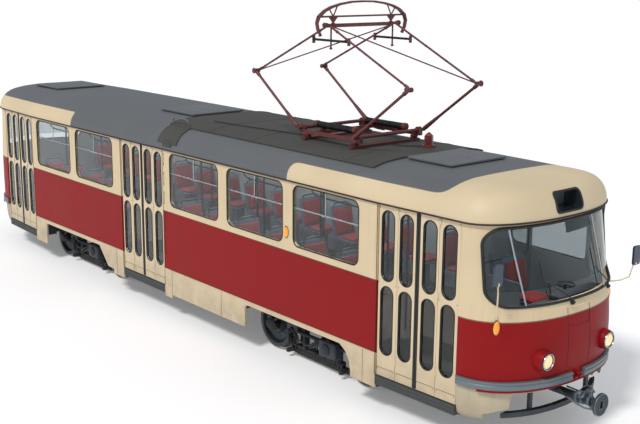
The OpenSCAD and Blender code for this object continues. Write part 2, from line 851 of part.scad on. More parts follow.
module pantograph_upper_front() {
    color([0.4, 0.16, 0.15])
        translate([pan_x, 0, 0])
            difference() {
                union() {
                    knee_eyes();
                    for (y = [-upper_y, upper_y])
                        rod([pan_knee_x, y, pan_knee_z], [0, y, pan_apex_z], upper_r);
                    rod([pan_knee_x, upper_y, pan_knee_z], [0, -upper_y, pan_apex_z], 9);
                    across(0, pan_apex_z, -pan_half_w, pan_half_w, apex_r);
                    for (y = [-pan_half_w, pan_half_w]) translate([0, y, pan_apex_z]) sphere(r = 32);
                }
                knee_bores();
            }
}

module pantograph_upper_rear() {
    stop = 42;
    color([0.4, 0.16, 0.15])
        translate([pan_x, 0, 0])
            mirror([1, 0, 0])
                difference() {
                    union() {
                        knee_eyes();
                        for (y = [-upper_y, upper_y])
                            rod([pan_knee_x, y, pan_knee_z], short_of_apex(stop, y), upper_r);
                        rod([pan_knee_x, -upper_y, pan_knee_z], short_of_apex(stop + 20, upper_y), 9);
                        rod(short_of_apex(stop + 20, -upper_y), short_of_apex(stop + 20, upper_y), 10);
                    }
                    knee_bores();
                }
}

head_bar_z = pan_apex_z + 109;
head_y = 520;                        // the head's hubs on the apex tube

// The collecting strip with its two horns, seen from the front: one side, from the crown out
HEAD_TOP = [[0, 4935], [200, 4930], [400, 4905], [560, 4868], [680, 4820], [780, 4745], [810, 4660],
            [790, 4570], [745, 4500]];
head_t = 24;

module pantograph_head() {
    head_points = [for (p = HEAD_TOP) [p[0], p[1] + pan_apex_z - 4626]];
    inner = [for (p = head_points) [p[0] * (1 - head_t / 850), p[1] - head_t * (p[1] > pan_apex_z + 100 ? 1 : 0.3)]];
    color([0.4, 0.16, 0.15])
        translate([pan_x, 0, 0])
            difference() {
                union() {
                    cross_slab(-25, 25)
                        polygon(concat(
                            [for (p = backward(head_points)) [-p[0], p[1]]], head_points,
                            backward(inner), [for (p = inner) [-p[0], p[1]]]));
                    across(0, head_bar_z, -795, 795, 12);
                    for (s = [-1, 1]) mirror([0, s > 0 ? 0 : 1, 0]) {
                        across(0, pan_apex_z, head_y - 20, head_y + 20, 30);
                        rod([0, head_y, pan_apex_z + 25], [0, head_y, head_bar_z], 12);
                        rod([0, head_y, head_bar_z], [0, head_y - 80, head_bar_z + 155], 9);
                        rod([0, head_y, head_bar_z], [0, head_y + 80, head_bar_z + 108], 9);
                    }
                }
                across(0, pan_apex_z, -700, 700, apex_r + pin_gap);
            }
}

/* ---- bogies ---- */

beam_y = 530;            // middle of a bogie's side beams
beam_w = 110;
beam_z0 = 460;
beam_z1 = 570;
bolster_z1 = 720;

module at_bogie(b) { translate([b == 0 ? front_bogie_x : rear_bogie_x, 0, 0]) children(); }

module bogie_frame(b) {
    color([0.2, 0.25, 0.3])
        at_bogie(b)
            difference() {
                union() {
                    for (s = [-1, 1]) {
                        box([-wheel_base / 2 - 200, s * beam_y - beam_w / 2, beam_z0],
                            [wheel_base / 2 + 200, s * beam_y + beam_w / 2, beam_z1]);
                        for (x = [-wheel_base / 2, wheel_base / 2]) {
                            across(x, axle_z, s * beam_y - beam_w / 2, s * beam_y + beam_w / 2, 115);
                            box([x - 95, s * beam_y - beam_w / 2, axle_z],
                                [x + 95, s * beam_y + beam_w / 2, beam_z0 + eps]);
                        }
                        // spring seats and springs beside the bolster
                        box([-280, s * 650 - 90, beam_z0], [280, s * 650 + 90, beam_z0 + 30]);
                        for (x = [-170, 170])
                            translate([x, s * 660, beam_z0 + 29]) cylinder(h = bolster_z1 - 59 - beam_z0, r = 68);
                    }
                    for (x = [-260, 180])
                        box([x, -beam_y, beam_z0], [x + 80, beam_y, beam_z1]);
                    box([-270, -740, bolster_z1 - 31], [270, 740, bolster_z1]);
                    box([-130, -300, beam_z1 - 20], [130, 300, bolster_z1]);
                }
                translate([0, 0, pivot_bottom_z - 20])
                    cylinder(h = 300, d = pivot_d + 2 * face_gap);
                for (x = [-wheel_base / 2, wheel_base / 2])
                    across(x, axle_z, -700, 700, axle_d / 2 + face_gap);
            }
}

module bogie_motors(b) {
    color([0.25, 0.28, 0.32])
        at_bogie(b)
            for (s = [-1, 1]) mirror([s > 0 ? 0 : 1, 0, 0]) {
                x1 = wheel_base / 2 - axle_d / 2 - 40;
                box([260 + seat_gap, -330, 250], [x1, 330, 600]);
            }
}

module track_brakes(b) {
    shoe_y = gauge / 2 + 35;
    color([0.14, 0.16, 0.18])
        at_bogie(b)
            for (s = [-1, 1]) mirror([0, s > 0 ? 0 : 1, 0]) {
                box([-480, shoe_y - 35, 45], [480, shoe_y + 35, 190]);
                for (x = [-400, 400]) {
                    box([x - 25, shoe_y - 20, 189], [x + 25, shoe_y + 20, 440]);
                    box([x - 25, beam_y + beam_w / 2 + seat_gap, 400],
                        [x + 25, shoe_y + 20, 440]);
                    box([x - 25, beam_y + beam_w / 2 + seat_gap, 400],
                        [x + 25, beam_y + beam_w / 2 + 25, 500]);
                }
            }
}

// One axle with its two wheels: n counts from the front
module wheelset(n) {
    flange_y = gauge / 2 - 5;
    tyre_w = 95;
    rim = 55;
    web = 30;
    at_bogie(n < 2 ? 0 : 1)
        translate([wheel_base / 2 * (n % 2 == 0 ? 1 : -1), 0, axle_z])
            color([0.3, 0.35, 0.4]) {
                across(0, 0, -flange_y - 60, flange_y + 60, axle_d / 2);
                for (s = [-1, 1])
                    rotate([s * -90, 0, 0])
                        rotate_extrude($fn = 96)
                            polygon([
                                [0, flange_y - 22], [wheel_r + flange_h - 6, flange_y - 22],
                                [wheel_r + flange_h, flange_y - 15], [wheel_r + flange_h, flange_y - 9],
                                [wheel_r + 3, flange_y], [wheel_r, flange_y + 6],
                                [wheel_r - 2, flange_y + tyre_w],
                                [wheel_r - rim, flange_y + tyre_w], [wheel_r - rim - 12, flange_y + web],
                                [150, flange_y + web], [130, flange_y + tyre_w - 15],
                                [0, flange_y + tyre_w - 15]
                            ]);
            }
}

/* ---- couplers ---- */

module coupler(sgn) {
    head_x = 905;            // the face of the head, ahead of the pin
    color([0.2, 0.24, 0.27])
        mirror([sgn > 0 ? 0 : 1, 0, 0])
            translate([buffer_x, 0, coupler_z])
                difference() {
                    union() {
                        translate([0, 0, -50]) cylinder(h = 130 - seat_gap, r = 65);
                        rod([40, 0, 0], [620, 0, 0], 48);
                        rod([560, 0, 0], [640, 0, 0], 66);
                        rod([630, 0, 0], [780, 0, 0], 58);
                        rod([770, 0, 0], [head_x - 25, 0, 0], 38);
                        rod([head_x - 26, 0, 0], [head_x, 0, 0], 135);
                    }
                    translate([0, 0, -80]) cylinder(h = 400, d = 60 + 2 * face_gap);
                    box([head_x - 70, -32, -45], [head_x + eps, 32, 45]);
                }
}

/* ---- doors ---- */

hinge_out = 6;           // the middle hinges' axis lies this far outside the leaves
centre_gap = 14;         // between the two inner leaves
leaf_w = (door_w / 2 - 2 * run_gap - centre_gap / 2) / 2;
leaf_top_z = wall_top_z - 10;
post_axis = run_gap + leaf_t / 2;          // the outer leaf's pivot, from the post
fold_axis = run_gap + leaf_w + run_gap / 2;    // the middle hinges, from the post
pivot_r = 9;
knuckle_r = 5.5;
pane_w = 205;
mid_rail_z = 1680;

// The two windows of a leaf, between x0 and x0 + leaf_w
module leaf_windows(x0, shift) {
    c = x0 + leaf_w / 2 + shift;
    side_slab(-eps, leaf_t + eps) {
        rounded([c - pane_w / 2, 785], [c + pane_w / 2, mid_rail_z - 30], pane_w / 2);
        rounded([c - pane_w / 2, mid_rail_z + 35], [c + pane_w / 2, 2580], pane_w / 2);
    }
}

// Middle hinges: the outer leaf holds the upper knuckles, the inner leaf the lower ones
HINGE_Z = [700, 1640, 2500];

module knuckle(z, toward) {
    translate([fold_axis, -hinge_out, z]) cylinder(h = 60, r = knuckle_r);
    box([min(fold_axis, fold_axis + toward * 22), -hinge_out - 3, z],
        [max(fold_axis, fold_axis + toward * 22), seat_gap, z + 60]);
}

module outer_leaf() {
    difference() {
        union() {
            translate([post_axis, leaf_t / 2, leaf_bottom_z])
                cylinder(h = leaf_top_z - leaf_bottom_z, d = leaf_t);
            box([post_axis, 0, leaf_bottom_z], [run_gap + leaf_w, leaf_t, leaf_top_z]);
            translate([post_axis, leaf_t / 2, tread_z + seat_gap])
                cylinder(h = wall_top_z - tread_z - 2 * seat_gap, r = pivot_r);
            for (z = HINGE_Z) knuckle(z + 60.3, -1);
        }
        leaf_windows(run_gap, 0);
    }
}

module inner_leaf() {
    x0 = fold_axis + run_gap / 2;
    difference() {
        union() {
            box([x0, 0, leaf_bottom_z], [x0 + leaf_w, leaf_t, leaf_top_z]);
            for (z = HINGE_Z) knuckle(z, 1);
        }
        leaf_windows(x0, -18);
    }
}

// Leaf n of doorway d, counted from the rear post
module door_leaf(d, n) {
    color("wheat")
        at_door(d)
            mirror([n > 2 ? 1 : 0, 0, 0])
                translate([-door_w / 2, leaf_recess, 0])
                    if (n == 1 || n == 4) outer_leaf();
                    else inner_leaf();
}

floor();
underframe();
left_wall();
right_wall_front();
right_wall_rear();
front_end();
rear_end();
roof();
windscreen();
rear_window();
side_windows();
skirts();
aprons();
bumpers();
door_steps();
headlights();
marker_lamps();
destination_sign();
mirrors();
roof_walkway();
roof_vents();
pantograph_base();
pantograph_springs();
surge_arrester();
seats();
seat_cushions();
driver_desk();
cab_partition();
handrails();
translate([pan_x, 0, 0]) lower_frame();  // pantograph_lower_front
translate([pan_x, 0, 0]) mirror([1, 0, 0]) lower_frame();  // pantograph_lower_rear
pantograph_upper_front();
pantograph_upper_rear();
pantograph_head();
bogie_frame(0);  // front_bogie_frame
bogie_motors(0);  // front_bogie_motors
track_brakes(0);  // front_track_brakes
bogie_frame(1);  // rear_bogie_frame
bogie_motors(1);  // rear_bogie_motors
track_brakes(1);  // rear_track_brakes
for (n = [0:3])
    wheelset(n);
coupler(1);  // front_coupler
coupler(-1);  // rear_coupler
DOOR_NAMES = ["front_door", "middle_door", "rear_door"];
for (d = [0:2], n = [1:4])
    door_leaf(d, n);
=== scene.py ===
"""A four-axle tram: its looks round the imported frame. Metres; +X is the front, the doors are at -Y."""

import math

import bmesh
import bpy
from mathutils import Matrix, Vector


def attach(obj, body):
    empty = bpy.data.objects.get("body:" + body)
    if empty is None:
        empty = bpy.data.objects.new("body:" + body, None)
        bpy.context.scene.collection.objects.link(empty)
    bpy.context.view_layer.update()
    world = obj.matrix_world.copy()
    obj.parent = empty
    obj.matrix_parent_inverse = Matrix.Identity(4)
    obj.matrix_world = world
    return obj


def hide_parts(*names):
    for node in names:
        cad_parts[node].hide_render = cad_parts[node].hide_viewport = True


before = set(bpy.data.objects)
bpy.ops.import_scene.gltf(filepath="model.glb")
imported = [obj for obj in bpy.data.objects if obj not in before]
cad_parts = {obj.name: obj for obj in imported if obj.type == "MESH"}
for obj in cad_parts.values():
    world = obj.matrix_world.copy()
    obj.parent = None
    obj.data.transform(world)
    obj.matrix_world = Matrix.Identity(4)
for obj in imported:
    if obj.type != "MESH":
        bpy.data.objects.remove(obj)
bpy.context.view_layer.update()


# ---- sizes of the body that the looks share with the frame ----

HALF_W = 1.25
END_HALF_W = 1.193
FRONT_X = 6.114
REAR_X = -5.73
NOSE_X = 6.92
WALL_TOP = 2.65
ROOF_RISE = 0.4
ROOF_HALF_W = 1.265
WALL_T = 0.06
FRONT_BOW = 2.2
REAR_BOW = 1.9
# height, how far the nose lies back, how far the sides lie in
FRONT_LEVELS = [(0.77, 0.04, 0), (1.2, 0, 0), (1.72, 0.06, 0), (2.65, 0.3, 0.014)]
REAR_LEVELS = [(0.77, 0.05, 0), (1.2, 0, 0), (1.72, 0.04, 0), (2.65, 0.23, 0.014)]
# share of the rise, share of the half width, how far the ends lie back
ROOF_LEVELS = [
    (0, 1, 0), (0.32, 0.98, 0.02), (0.62, 0.905, 0.075), (0.83, 0.78, 0.19),
    (0.95, 0.6, 0.45), (1, 0.356, 1.0),
]
BROW_X = 6.68
TAIL_X = 6.75
SILL = 1.79
HEAD = 2.612
WINDOW_W = 1.275
FRONT_ROW = [3.875 - 1.49 * i for i in range(3)]
REAR_ROW = [-2.12, -3.61]
LEFT_ROW = [5.479] + FRONT_ROW + [-0.583] + REAR_ROW + [-5.095]
DOOR_W = 1.27
TAPER = 0.057
DOORS = {"front": (5.479, 1), "middle": (-0.583, 0), "rear": (-5.095, -1)}
LEAF_T = 0.036
RECESS = 0.015
BOGIES = {"front": 3.246, "rear": -3.154}
PAN_X = 3.156


# ---- modelling ----

def clear():
    if bpy.context.object and bpy.context.object.mode != "OBJECT":
        bpy.ops.object.mode_set(mode="OBJECT")
    bpy.ops.object.select_all(action="DESELECT")


def take(obj):
    """Makes obj the one selected object."""
    clear()
    obj.select_set(True)
    bpy.context.view_layer.objects.active = obj
    return obj


def settle(obj, matrix=None):
    """Puts the object's place into its mesh."""
    if matrix is not None:
        obj.matrix_world = matrix
    take(obj)
    bpy.ops.object.transform_apply(location=True, rotation=True, scale=True)
    return obj


class Edit:
    """Edit mode on one object; pick() selects by a test on each point, edge or face."""

    def __init__(self, obj):
        self.obj = obj

    def __enter__(self):
        take(self.obj)
        bpy.ops.object.mode_set(mode="EDIT")
        bpy.ops.mesh.select_all(action="SELECT")
        return self

    def __exit__(self, *error):
        bpy.ops.object.mode_set(mode="OBJECT")

    def pick(self, kind, test):
        bpy.ops.mesh.select_mode(type=kind)
        bpy.ops.mesh.select_all(action="DESELECT")
        mesh = bmesh.from_edit_mesh(self.obj.data)
        items = {"VERT": mesh.verts, "EDGE": mesh.edges, "FACE": mesh.faces}[kind]
        for item in items:
            if test(item):
                item.select_set(True)
        mesh.select_flush_mode()
        bmesh.update_edit_mesh(self.obj.data)


def named(name):
    obj = bpy.context.object
    obj.name = name
    obj.data.name = name
    return obj


def outward(obj, merge=0.00005):
    with Edit(obj):
        bpy.ops.mesh.remove_doubles(threshold=merge)
        bpy.ops.mesh.select_all(action="SELECT")
        bpy.ops.mesh.normals_make_consistent(inside=False)
    return obj


def block(lo, hi, bevel=0.004, segments=2, name="block"):
    """A box from corner to corner, in either order, with softened edges."""
    clear()
    lo, hi = (Vector(map(pick, lo, hi)) for pick in (min, max))
    bpy.ops.mesh.primitive_cube_add(size=1, location=(lo + hi) / 2)
    obj = named(name)
    obj.scale = hi - lo
    settle(obj)
    if bevel:
        with Edit(obj):
            bpy.ops.mesh.bevel(offset=bevel, segments=segments, affect="EDGES")
    return obj


def aimed(place, way):
    return Matrix.Translation(place) @ Vector(way).to_track_quat("Z", "Y").to_matrix().to_4x4()


def turned(place, way, profile, sides=24, name="turned"):
    """A turned form: rings at (distance along way, radius), closed at both ends."""
    clear()
    bpy.ops.mesh.primitive_circle_add(vertices=sides, radius=profile[0][1], fill_type="NGON")
    obj = named(name)
    obj.location.z = profile[0][0]
    settle(obj)
    last = profile[0]
    with Edit(obj):
        for step in profile[1:]:
            bpy.ops.mesh.extrude_region_move(TRANSFORM_OT_translate={"value": (0, 0, step[0] - last[0])})
            share = step[1] / last[1]
            bpy.ops.transform.resize(value=(share, share, 1), center_override=(0, 0, step[0]))
            last = step
        bpy.ops.mesh.select_all(action="SELECT")
        bpy.ops.mesh.normals_make_consistent(inside=False)
    return settle(obj, aimed(place, way))


def bar(a, b, r, sides=12, edge=0.25):
    """A round bar from a to b with softened ends."""
    a, b = Vector(a), Vector(b)
    span = (b - a).length
    e = min(r * edge, span / 4)
    return turned(a, b - a, [(0, r - e), (e, r), (span - e, r), (span, r - e)], sides, "bar")


def tube(points, r, closed=False, rings=2, caps=True):
    """A round tube along a line of points."""
    clear()
    bpy.ops.curve.primitive_nurbs_path_add()
    obj = bpy.context.object
    line = obj.data
    line.splines.clear()
    spline = line.splines.new("POLY")
    spline.points.add(len(points) - 1)
    for point, place in zip(spline.points, points):
        point.co = (*place, 1)
    spline.use_cyclic_u = closed
    line.bevel_depth = r
    line.bevel_resolution = rings
    line.use_fill_caps = caps and not closed
    bpy.ops.object.convert(target="MESH")
    return outward(named("tube"))


def plate(outline, depth, matrix=None, bevel=0, segments=2, name="plate"):
    """A plate with this outline in X and Y, depth thick along Z, then put in place."""
    clear()
    bpy.ops.mesh.primitive_circle_add(vertices=len(outline), radius=1, fill_type="NGON")
    obj = named(name)
    for point, (x, y) in zip(obj.data.vertices, outline):
        point.co = (x, y, 0)
    with Edit(obj) as edit:
        bpy.ops.mesh.extrude_region_move(TRANSFORM_OT_translate={"value": (0, 0, depth)})
        bpy.ops.mesh.select_all(action="SELECT")
        bpy.ops.mesh.normals_make_consistent(inside=False)
        if bevel:
            edit.pick("FACE", lambda f: abs(f.normal.z) > 0.9)
            bpy.ops.mesh.region_to_loop()
            bpy.ops.mesh.bevel(offset=bevel, segments=segments, affect="EDGES")
    return settle(obj, matrix) if matrix else obj


def shell(rings, closed=False, name="shell"):
    """A surface through rings of points, each ring as long as the others."""
    clear()
    n, m = len(rings[0]), len(rings)
    bpy.ops.mesh.primitive_grid_add(x_subdivisions=n - 1, y_subdivisions=m - 1, size=2)
    obj = named(name)
    order = sorted(obj.data.vertices, key=lambda v: (round(v.co.y, 4), round(v.co.x, 4)))
    for point, place in zip(order, [p for ring in rings for p in ring]):
        point.co = place
    if closed:
        outward(obj)
    return obj


def joined(name, *objs):
    clear()
    for obj in objs:
        obj.select_set(True)
    bpy.context.view_layer.objects.active = objs[0]
    if len(objs) > 1:
        bpy.ops.object.join()
    return named(name)


def again(obj, matrix, name="copy"):
    """A copy with its own mesh, put in place. A mirrored copy is turned right side out."""
    copy = obj.copy()
    copy.data = obj.data.copy()
    copy.name = name
    bpy.context.scene.collection.objects.link(copy)
    copy.data.transform(matrix)
    if matrix.determinant() < 0:
        copy.data.flip_normals()
    return copy


def shift(x=0, y=0, z=0):
    return Matrix.Translation((x, y, z))


FLIP_X = Matrix.Diagonal((-1, 1, 1, 1))


def apply(obj, kind, **values):
    take(obj)
    modifier = obj.modifiers.new(kind.title(), kind)
    for key, value in values.items():
        setattr(modifier, key, value)
    bpy.ops.object.modifier_apply(modifier=modifier.name)
    return obj


def cut(obj, *cutters):
    for cutter in cutters:
        apply(obj, "BOOLEAN", operation="DIFFERENCE", object=cutter, solver="EXACT")
        bpy.data.objects.remove(cutter)
    return obj


def done(obj, name, material, body="body", replaces=(), smooth=35):
    """Finishes a piece, or joins parts to one: smooth faces, material and the body it rides on."""
    if isinstance(obj, list):
        obj = joined(name, *obj)
    obj.name = name
    obj.data.name = name
    take(obj)
    if smooth:
        bpy.ops.object.shade_smooth_by_angle(angle=math.radians(smooth))
    finishes = material if isinstance(material, list) else [material]
    indices = [face.material_index for face in obj.data.polygons]
    obj.data.materials.clear()
    for finish in finishes:
        obj.data.materials.append(MATERIALS[finish])
    if len(finishes) > 1:
        for face, index in zip(obj.data.polygons, indices):
            face.material_index = min(index, len(finishes) - 1)
    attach(obj, body)
    if replaces:
        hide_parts(*replaces)
    return obj


def rounded(x0, y0, x1, y1, r, steps=6):
    """A rounded rectangle's outline, counterclockwise."""
    points = []
    for cx, cy, start in ((x1 - r, y1 - r, 0), (x0 + r, y1 - r, 90), (x0 + r, y0 + r, 180),
            (x1 - r, y0 + r, 270)):
        for i in range(steps + 1):
            a = math.radians(start + 90 * i / steps)
            points.append((cx + r * math.cos(a), cy + r * math.sin(a)))
    return points


# ---- the curved ends and the roof ----

def lean(levels, z, column):
    """A level's value at height z, with the kinks between the levels rounded off."""
    def straight(z):
        z = min(max(z, levels[0][0]), levels[-1][0])
        for a, b in zip(levels, levels[1:]):
            if z <= b[0]:
                return a[column] + (b[column] - a[column]) * (z - a[0]) / (b[0] - a[0])
        return levels[-1][column]
    reach = 0.13
    return sum(straight(z + reach * (i / 3 - 1)) for i in range(7)) / 7


def front_at(y, z, out=0.0):
    """The front end's outer face at y and z, moved outwards."""
    half = END_HALF_W - lean(FRONT_LEVELS, z, 2) + out
    depth = NOSE_X - lean(FRONT_LEVELS, z, 1) - FRONT_X + out
    return Vector((FRONT_X + depth * max(0, 1 - (abs(y) / half) ** FRONT_BOW) ** (1 / FRONT_BOW), y, z))


def rear_at(y, z, out=0.0):
    half = END_HALF_W - lean(REAR_LEVELS, z, 2) + out
    depth = NOSE_X - lean(REAR_LEVELS, z, 1) + REAR_X + out
    return Vector((REAR_X - depth * max(0, 1 - (abs(y) / half) ** REAR_BOW) ** (1 / REAR_BOW), y, z))


def bow(x0, depth, half, n, steps=26):
    """Points of a rounded end in plan, from one side to the other."""
    points = []
    for i in range(-steps, steps + 1):
        t = math.pi / 2 * i / steps
        points.append((x0 + depth * max(0, math.cos(t)) ** (2 / n),
            half * math.copysign(abs(math.sin(t)) ** (2 / n), i)))
    return points


def end_rings(levels, x0, n, out=0.0, low=0.77, high=2.65, count=16, steps=26):
    rings = []
    for i in range(count + 1):
        z = low + (high - low) * i / count
        half = END_HALF_W - lean(levels, z, 2) + out
        depth = NOSE_X - lean(levels, z, 1) - x0 + out
        rings.append([(x, y, z) for x, y in bow(x0, depth, half, n, steps)])
    return rings


def roof_level(share):
    """Half width and setback of the roof at this share of its levels, 0 at the eave."""
    pos = share * (len(ROOF_LEVELS) - 1)
    i = min(int(pos), len(ROOF_LEVELS) - 2)
    f = pos - i
    four = [ROOF_LEVELS[max(0, min(len(ROOF_LEVELS) - 1, i + k))] for k in (-1, 0, 1, 2)]
    out = []
    for column in range(3):
        a, b, c, d = (level[column] for level in four)
        out.append(b + 0.5 * f * (c - a + f * (2 * a - 5 * b + 4 * c - d + f * (3 * (b - c) + d - a))))
    return WALL_TOP + ROOF_RISE * min(1, out[0]), ROOF_HALF_W * out[1], out[2]


def roof_path(low, high, up, count=20):
    """Points over the right half of the roof, from share low to share high, lifted off its skin."""
    points = []
    for i in range(count + 1):
        share = low + (high - low) * i / count
        z, half, _ = roof_level(share)
        z1, half1, _ = roof_level(min(1, share + 0.01))
        z0, half0, _ = roof_level(max(0, share - 0.01))
        out = Vector((z1 - z0, half0 - half1)).normalized() * up
        points.append((-half - out.x, z + out.y))
    return points


def roof_front_x(y, z, out=0.0):
    """Where the brow's skin is at y and z."""
    share = min(range(201), key=lambda i: abs(roof_level(i / 200)[0] - z)) / 200
    _, half, back = roof_level(share)
    half = half * (1 - TAPER / ROOF_HALF_W) + out
    x0 = min(FRONT_X, BROW_X - back - 0.416)
    return Vector((x0 + (BROW_X - back - x0 + out) * (1 - (abs(y) / half) ** FRONT_BOW) ** (1 / FRONT_BOW), y,
        z))


def round_plan(front, rear, half, steps=26):
    """The whole body in plan, counterclockwise from the front's right corner."""
    end_half = half * (1 - TAPER / ROOF_HALF_W)
    nose_x0 = min(FRONT_X, front - 0.416)
    tail_x0 = min(-REAR_X, rear - 0.87)
    nose = bow(nose_x0, front - nose_x0, end_half, FRONT_BOW, steps)
    tail = [(-x, -y) for x, y in bow(tail_x0, rear - tail_x0, end_half, REAR_BOW, steps)]
    side = [5.479 - DOOR_W / 2, 3.9, 1.6, -0.6, -2.9, -5.095 + DOOR_W / 2]
    return nose + [(x, half) for x in side] + tail + [(x, -half) for x in reversed(side)]


# ---- shared effects ----

def new_group(name, inputs, outputs):
    group = bpy.data.node_groups.new(name, "ShaderNodeTree")
    for label, kind, value in inputs:
        socket = group.interface.new_socket(name=label, in_out="INPUT", socket_type="NodeSocket" + kind)
        socket.default_value = value
    for label, kind in outputs:
        group.interface.new_socket(name=label, in_out="OUTPUT", socket_type="NodeSocket" + kind)
    return group


class Tree:
    """Short calls for building one node tree."""

    def __init__(self, tree):
        self.tree = tree

    def add(self, kind, links=None, values=None, **settings):
        node = self.tree.nodes.new("ShaderNode" + kind)
        for key, value in settings.items():
            setattr(node, key, value)
        for key, value in (values or {}).items():
            node.inputs[key].default_value = value
        for key, socket in (links or {}).items():
            self.tree.links.new(socket, node.inputs[key])
        return node

    def math(self, operation, a, b=None, c=None, clamp=False):
        node = self.tree.nodes.new("ShaderNodeMath")
        node.operation = operation
        node.use_clamp = clamp
        for slot, value in zip(node.inputs, (a, b, c)):
            if value is None:
                continue
            if isinstance(value, (int, float)):
                slot.default_value = value
            else:
                self.tree.links.new(value, slot)
        return node.outputs[0]

    def mix(self, share, a, b, blend="MIX"):
        node = self.tree.nodes.new("ShaderNodeMix")
        node.data_type = "RGBA"
        node.blend_type = blend
        for index, value in ((0, share), (6, a), (7, b)):
            if isinstance(value, (int, float, tuple)):
                node.inputs[index].default_value = value
            else:
                self.tree.links.new(value, node.inputs[index])
        return node.outputs[2]

    def ramp(self, value, low, high):
        """0 below low and 1 above high, smoothly."""
        node = self.add("MapRange", {"Value": value}, {"From Min": low, "From Max": high})
        node.interpolation_type = "SMOOTHSTEP"
        return node.outputs[0]

    def noise(self, vector, scale, detail=4.0, rough=0.55):
        return self.add("TexNoise", {"Vector": vector}, {"Scale": scale, "Detail": detail,
            "Roughness": rough}).outputs[0]


def rgb(r, g, b):
    """A colour as it looks on a screen, 0 to 255, made linear."""
    return tuple(((c / 255 + 0.055) / 1.055) ** 2.4 if c > 10 else c / 255 / 12.92
        for c in (r, g, b)) + (1.0,)


def weathered_group():
    """Soft mottling, rain streaks and darkening towards the bottom over a colour, with grain for the bump.
    The darkening is road dirt, and on the cream skirts painted shade where they tuck under.
    """
    group = new_group("weathered", [("Color", "Color", (0.5, 0.5, 0.5, 1)),
        ("Dirt", "Color", (0.05, 0.045, 0.04, 1)), ("Scale", "Float", 3.0), ("Mottle", "Float", 0.1),
        ("Streaks", "Float", 0.15), ("Splash", "Float", 0.3), ("Splash Top", "Float", 1.0),
        ("Roughness", "Float", 0.4), ("Grain", "Float", 0.3), ("Grain Scale", "Float", 120.0)],
        [("Color", "Color"), ("Roughness", "Float"), ("Height", "Float")])
    t = Tree(group)
    inside = group.nodes.new("NodeGroupInput").outputs
    out = group.nodes.new("NodeGroupOutput").inputs
    place = t.add("TexCoord").outputs["Object"]
    broad = t.add("TexNoise", {"Vector": place, "Scale": inside["Scale"]}, {"Detail": 5.0}).outputs[0]
    swing = t.math("MULTIPLY", t.math("SUBTRACT", broad, 0.5), inside["Mottle"])
    level = t.math("MULTIPLY_ADD", swing, 2.0, 1.0)
    colour = t.add("HueSaturation", {"Color": inside["Color"], "Value": level}).outputs[0]
    thin = t.add("Mapping", {"Vector": place}, {"Scale": (9.0, 9.0, 0.45)}).outputs[0]
    streak = t.math("MULTIPLY", t.ramp(t.noise(thin, 1.6), 0.5, 0.75), inside["Streaks"])
    # darker towards the bottom: road dirt, and on the cream skirts painted shade where they tuck under
    height = t.add("SeparateXYZ", {"Vector": place}).outputs["Z"]
    low = t.math("SUBTRACT", inside["Splash Top"], height)
    reach = t.math("MULTIPLY", t.ramp(low, 0.0, 0.7), t.ramp(t.noise(place, 5.0), 0.0, 1.0))
    splash = t.math("MULTIPLY", reach, inside["Splash"])
    dirt = t.math("MAXIMUM", streak, splash, clamp=True)
    colour = t.mix(dirt, colour, inside["Dirt"])
    rough = t.math("MULTIPLY_ADD", t.math("SUBTRACT", broad, 0.5), 0.2, inside["Roughness"])
    rough = t.math("MULTIPLY_ADD", dirt, 0.35, rough, clamp=True)
    fine = t.add("TexNoise", {"Vector": place, "Scale": inside["Grain Scale"]}, {"Detail": 2.0}).outputs[0]
    group.links.new(colour, out["Color"])
    group.links.new(rough, out["Roughness"])
    group.links.new(t.math("MULTIPLY", fine, inside["Grain"]), out["Height"])
    return group


WEATHERED = weathered_group()
MATERIALS = {}


def surface(name, colour, metallic=0.0, bump=0.15, bump_depth=0.002, coat=0.0, sheen=0.0, specular=0.5,
        zones=None, extra_height=None, emission=None, **wear):
    """A material: one colour, or colours by zone, under the shared weathering."""
    material = bpy.data.materials.new(name)
    material.use_nodes = True
    t = Tree(material.node_tree)
    shader = material.node_tree.nodes["Principled BSDF"]
    place = t.add("TexCoord").outputs["Object"]
    base = zones(t, place) if zones else None
    node = t.tree.nodes.new("ShaderNodeGroup")
    node.node_tree = WEATHERED
    node.inputs["Color"].default_value = colour
    for key, value in wear.items():
        node.inputs[key.replace("_", " ").title()].default_value = value
    if base is not None:
        t.tree.links.new(base, node.inputs["Color"])
    height = node.outputs["Height"]
    if extra_height:
        height = t.math("ADD", height, extra_height(t, place))
    bumped = t.add("Bump", {"Height": height}, {"Strength": bump, "Distance": bump_depth})
    t.tree.links.new(node.outputs["Color"], shader.inputs["Base Color"])
    t.tree.links.new(node.outputs["Roughness"], shader.inputs["Roughness"])
    t.tree.links.new(bumped.outputs[0], shader.inputs["Normal"])
    shader.inputs["Metallic"].default_value = metallic
    shader.inputs["Coat Weight"].default_value = coat
    shader.inputs["Coat Roughness"].default_value = 0.15
    shader.inputs["Sheen Weight"].default_value = sheen
    shader.inputs["Specular IOR Level"].default_value = specular
    if emission:
        shader.inputs["Emission Color"].default_value = emission[0]
        shader.inputs["Emission Strength"].default_value = emission[1]
    MATERIALS[name] = material
    return material


FRONT_RED_TOP, RED_TOP = 1.56, 1.69  # where the red band ends, on the front and elsewhere
RED = rgb(138, 17, 20)
CREAM = rgb(212, 192, 158)
LINING = rgb(170, 178, 182)
ROOF_GREY = rgb(93, 95, 98)


def axis(t, place, name):
    return t.add("SeparateXYZ", {"Vector": place}).outputs[name]


def between(t, value, low, high, soft=0.0015):
    """1 where value lies between low and high."""
    return t.math("MULTIPLY", t.ramp(value, low - soft, low + soft),
        t.math("SUBTRACT", 1.0, t.ramp(value, high - soft, high + soft)))


def body_zones(red_top):
    def zones(t, place):
        z = axis(t, place, "Z")
        colour = t.mix(between(t, z, 0.7, red_top), CREAM, RED)
        edge = between(t, z, red_top, red_top + 0.012)
        return t.mix(edge, colour, rgb(120, 96, 78))
    return zones


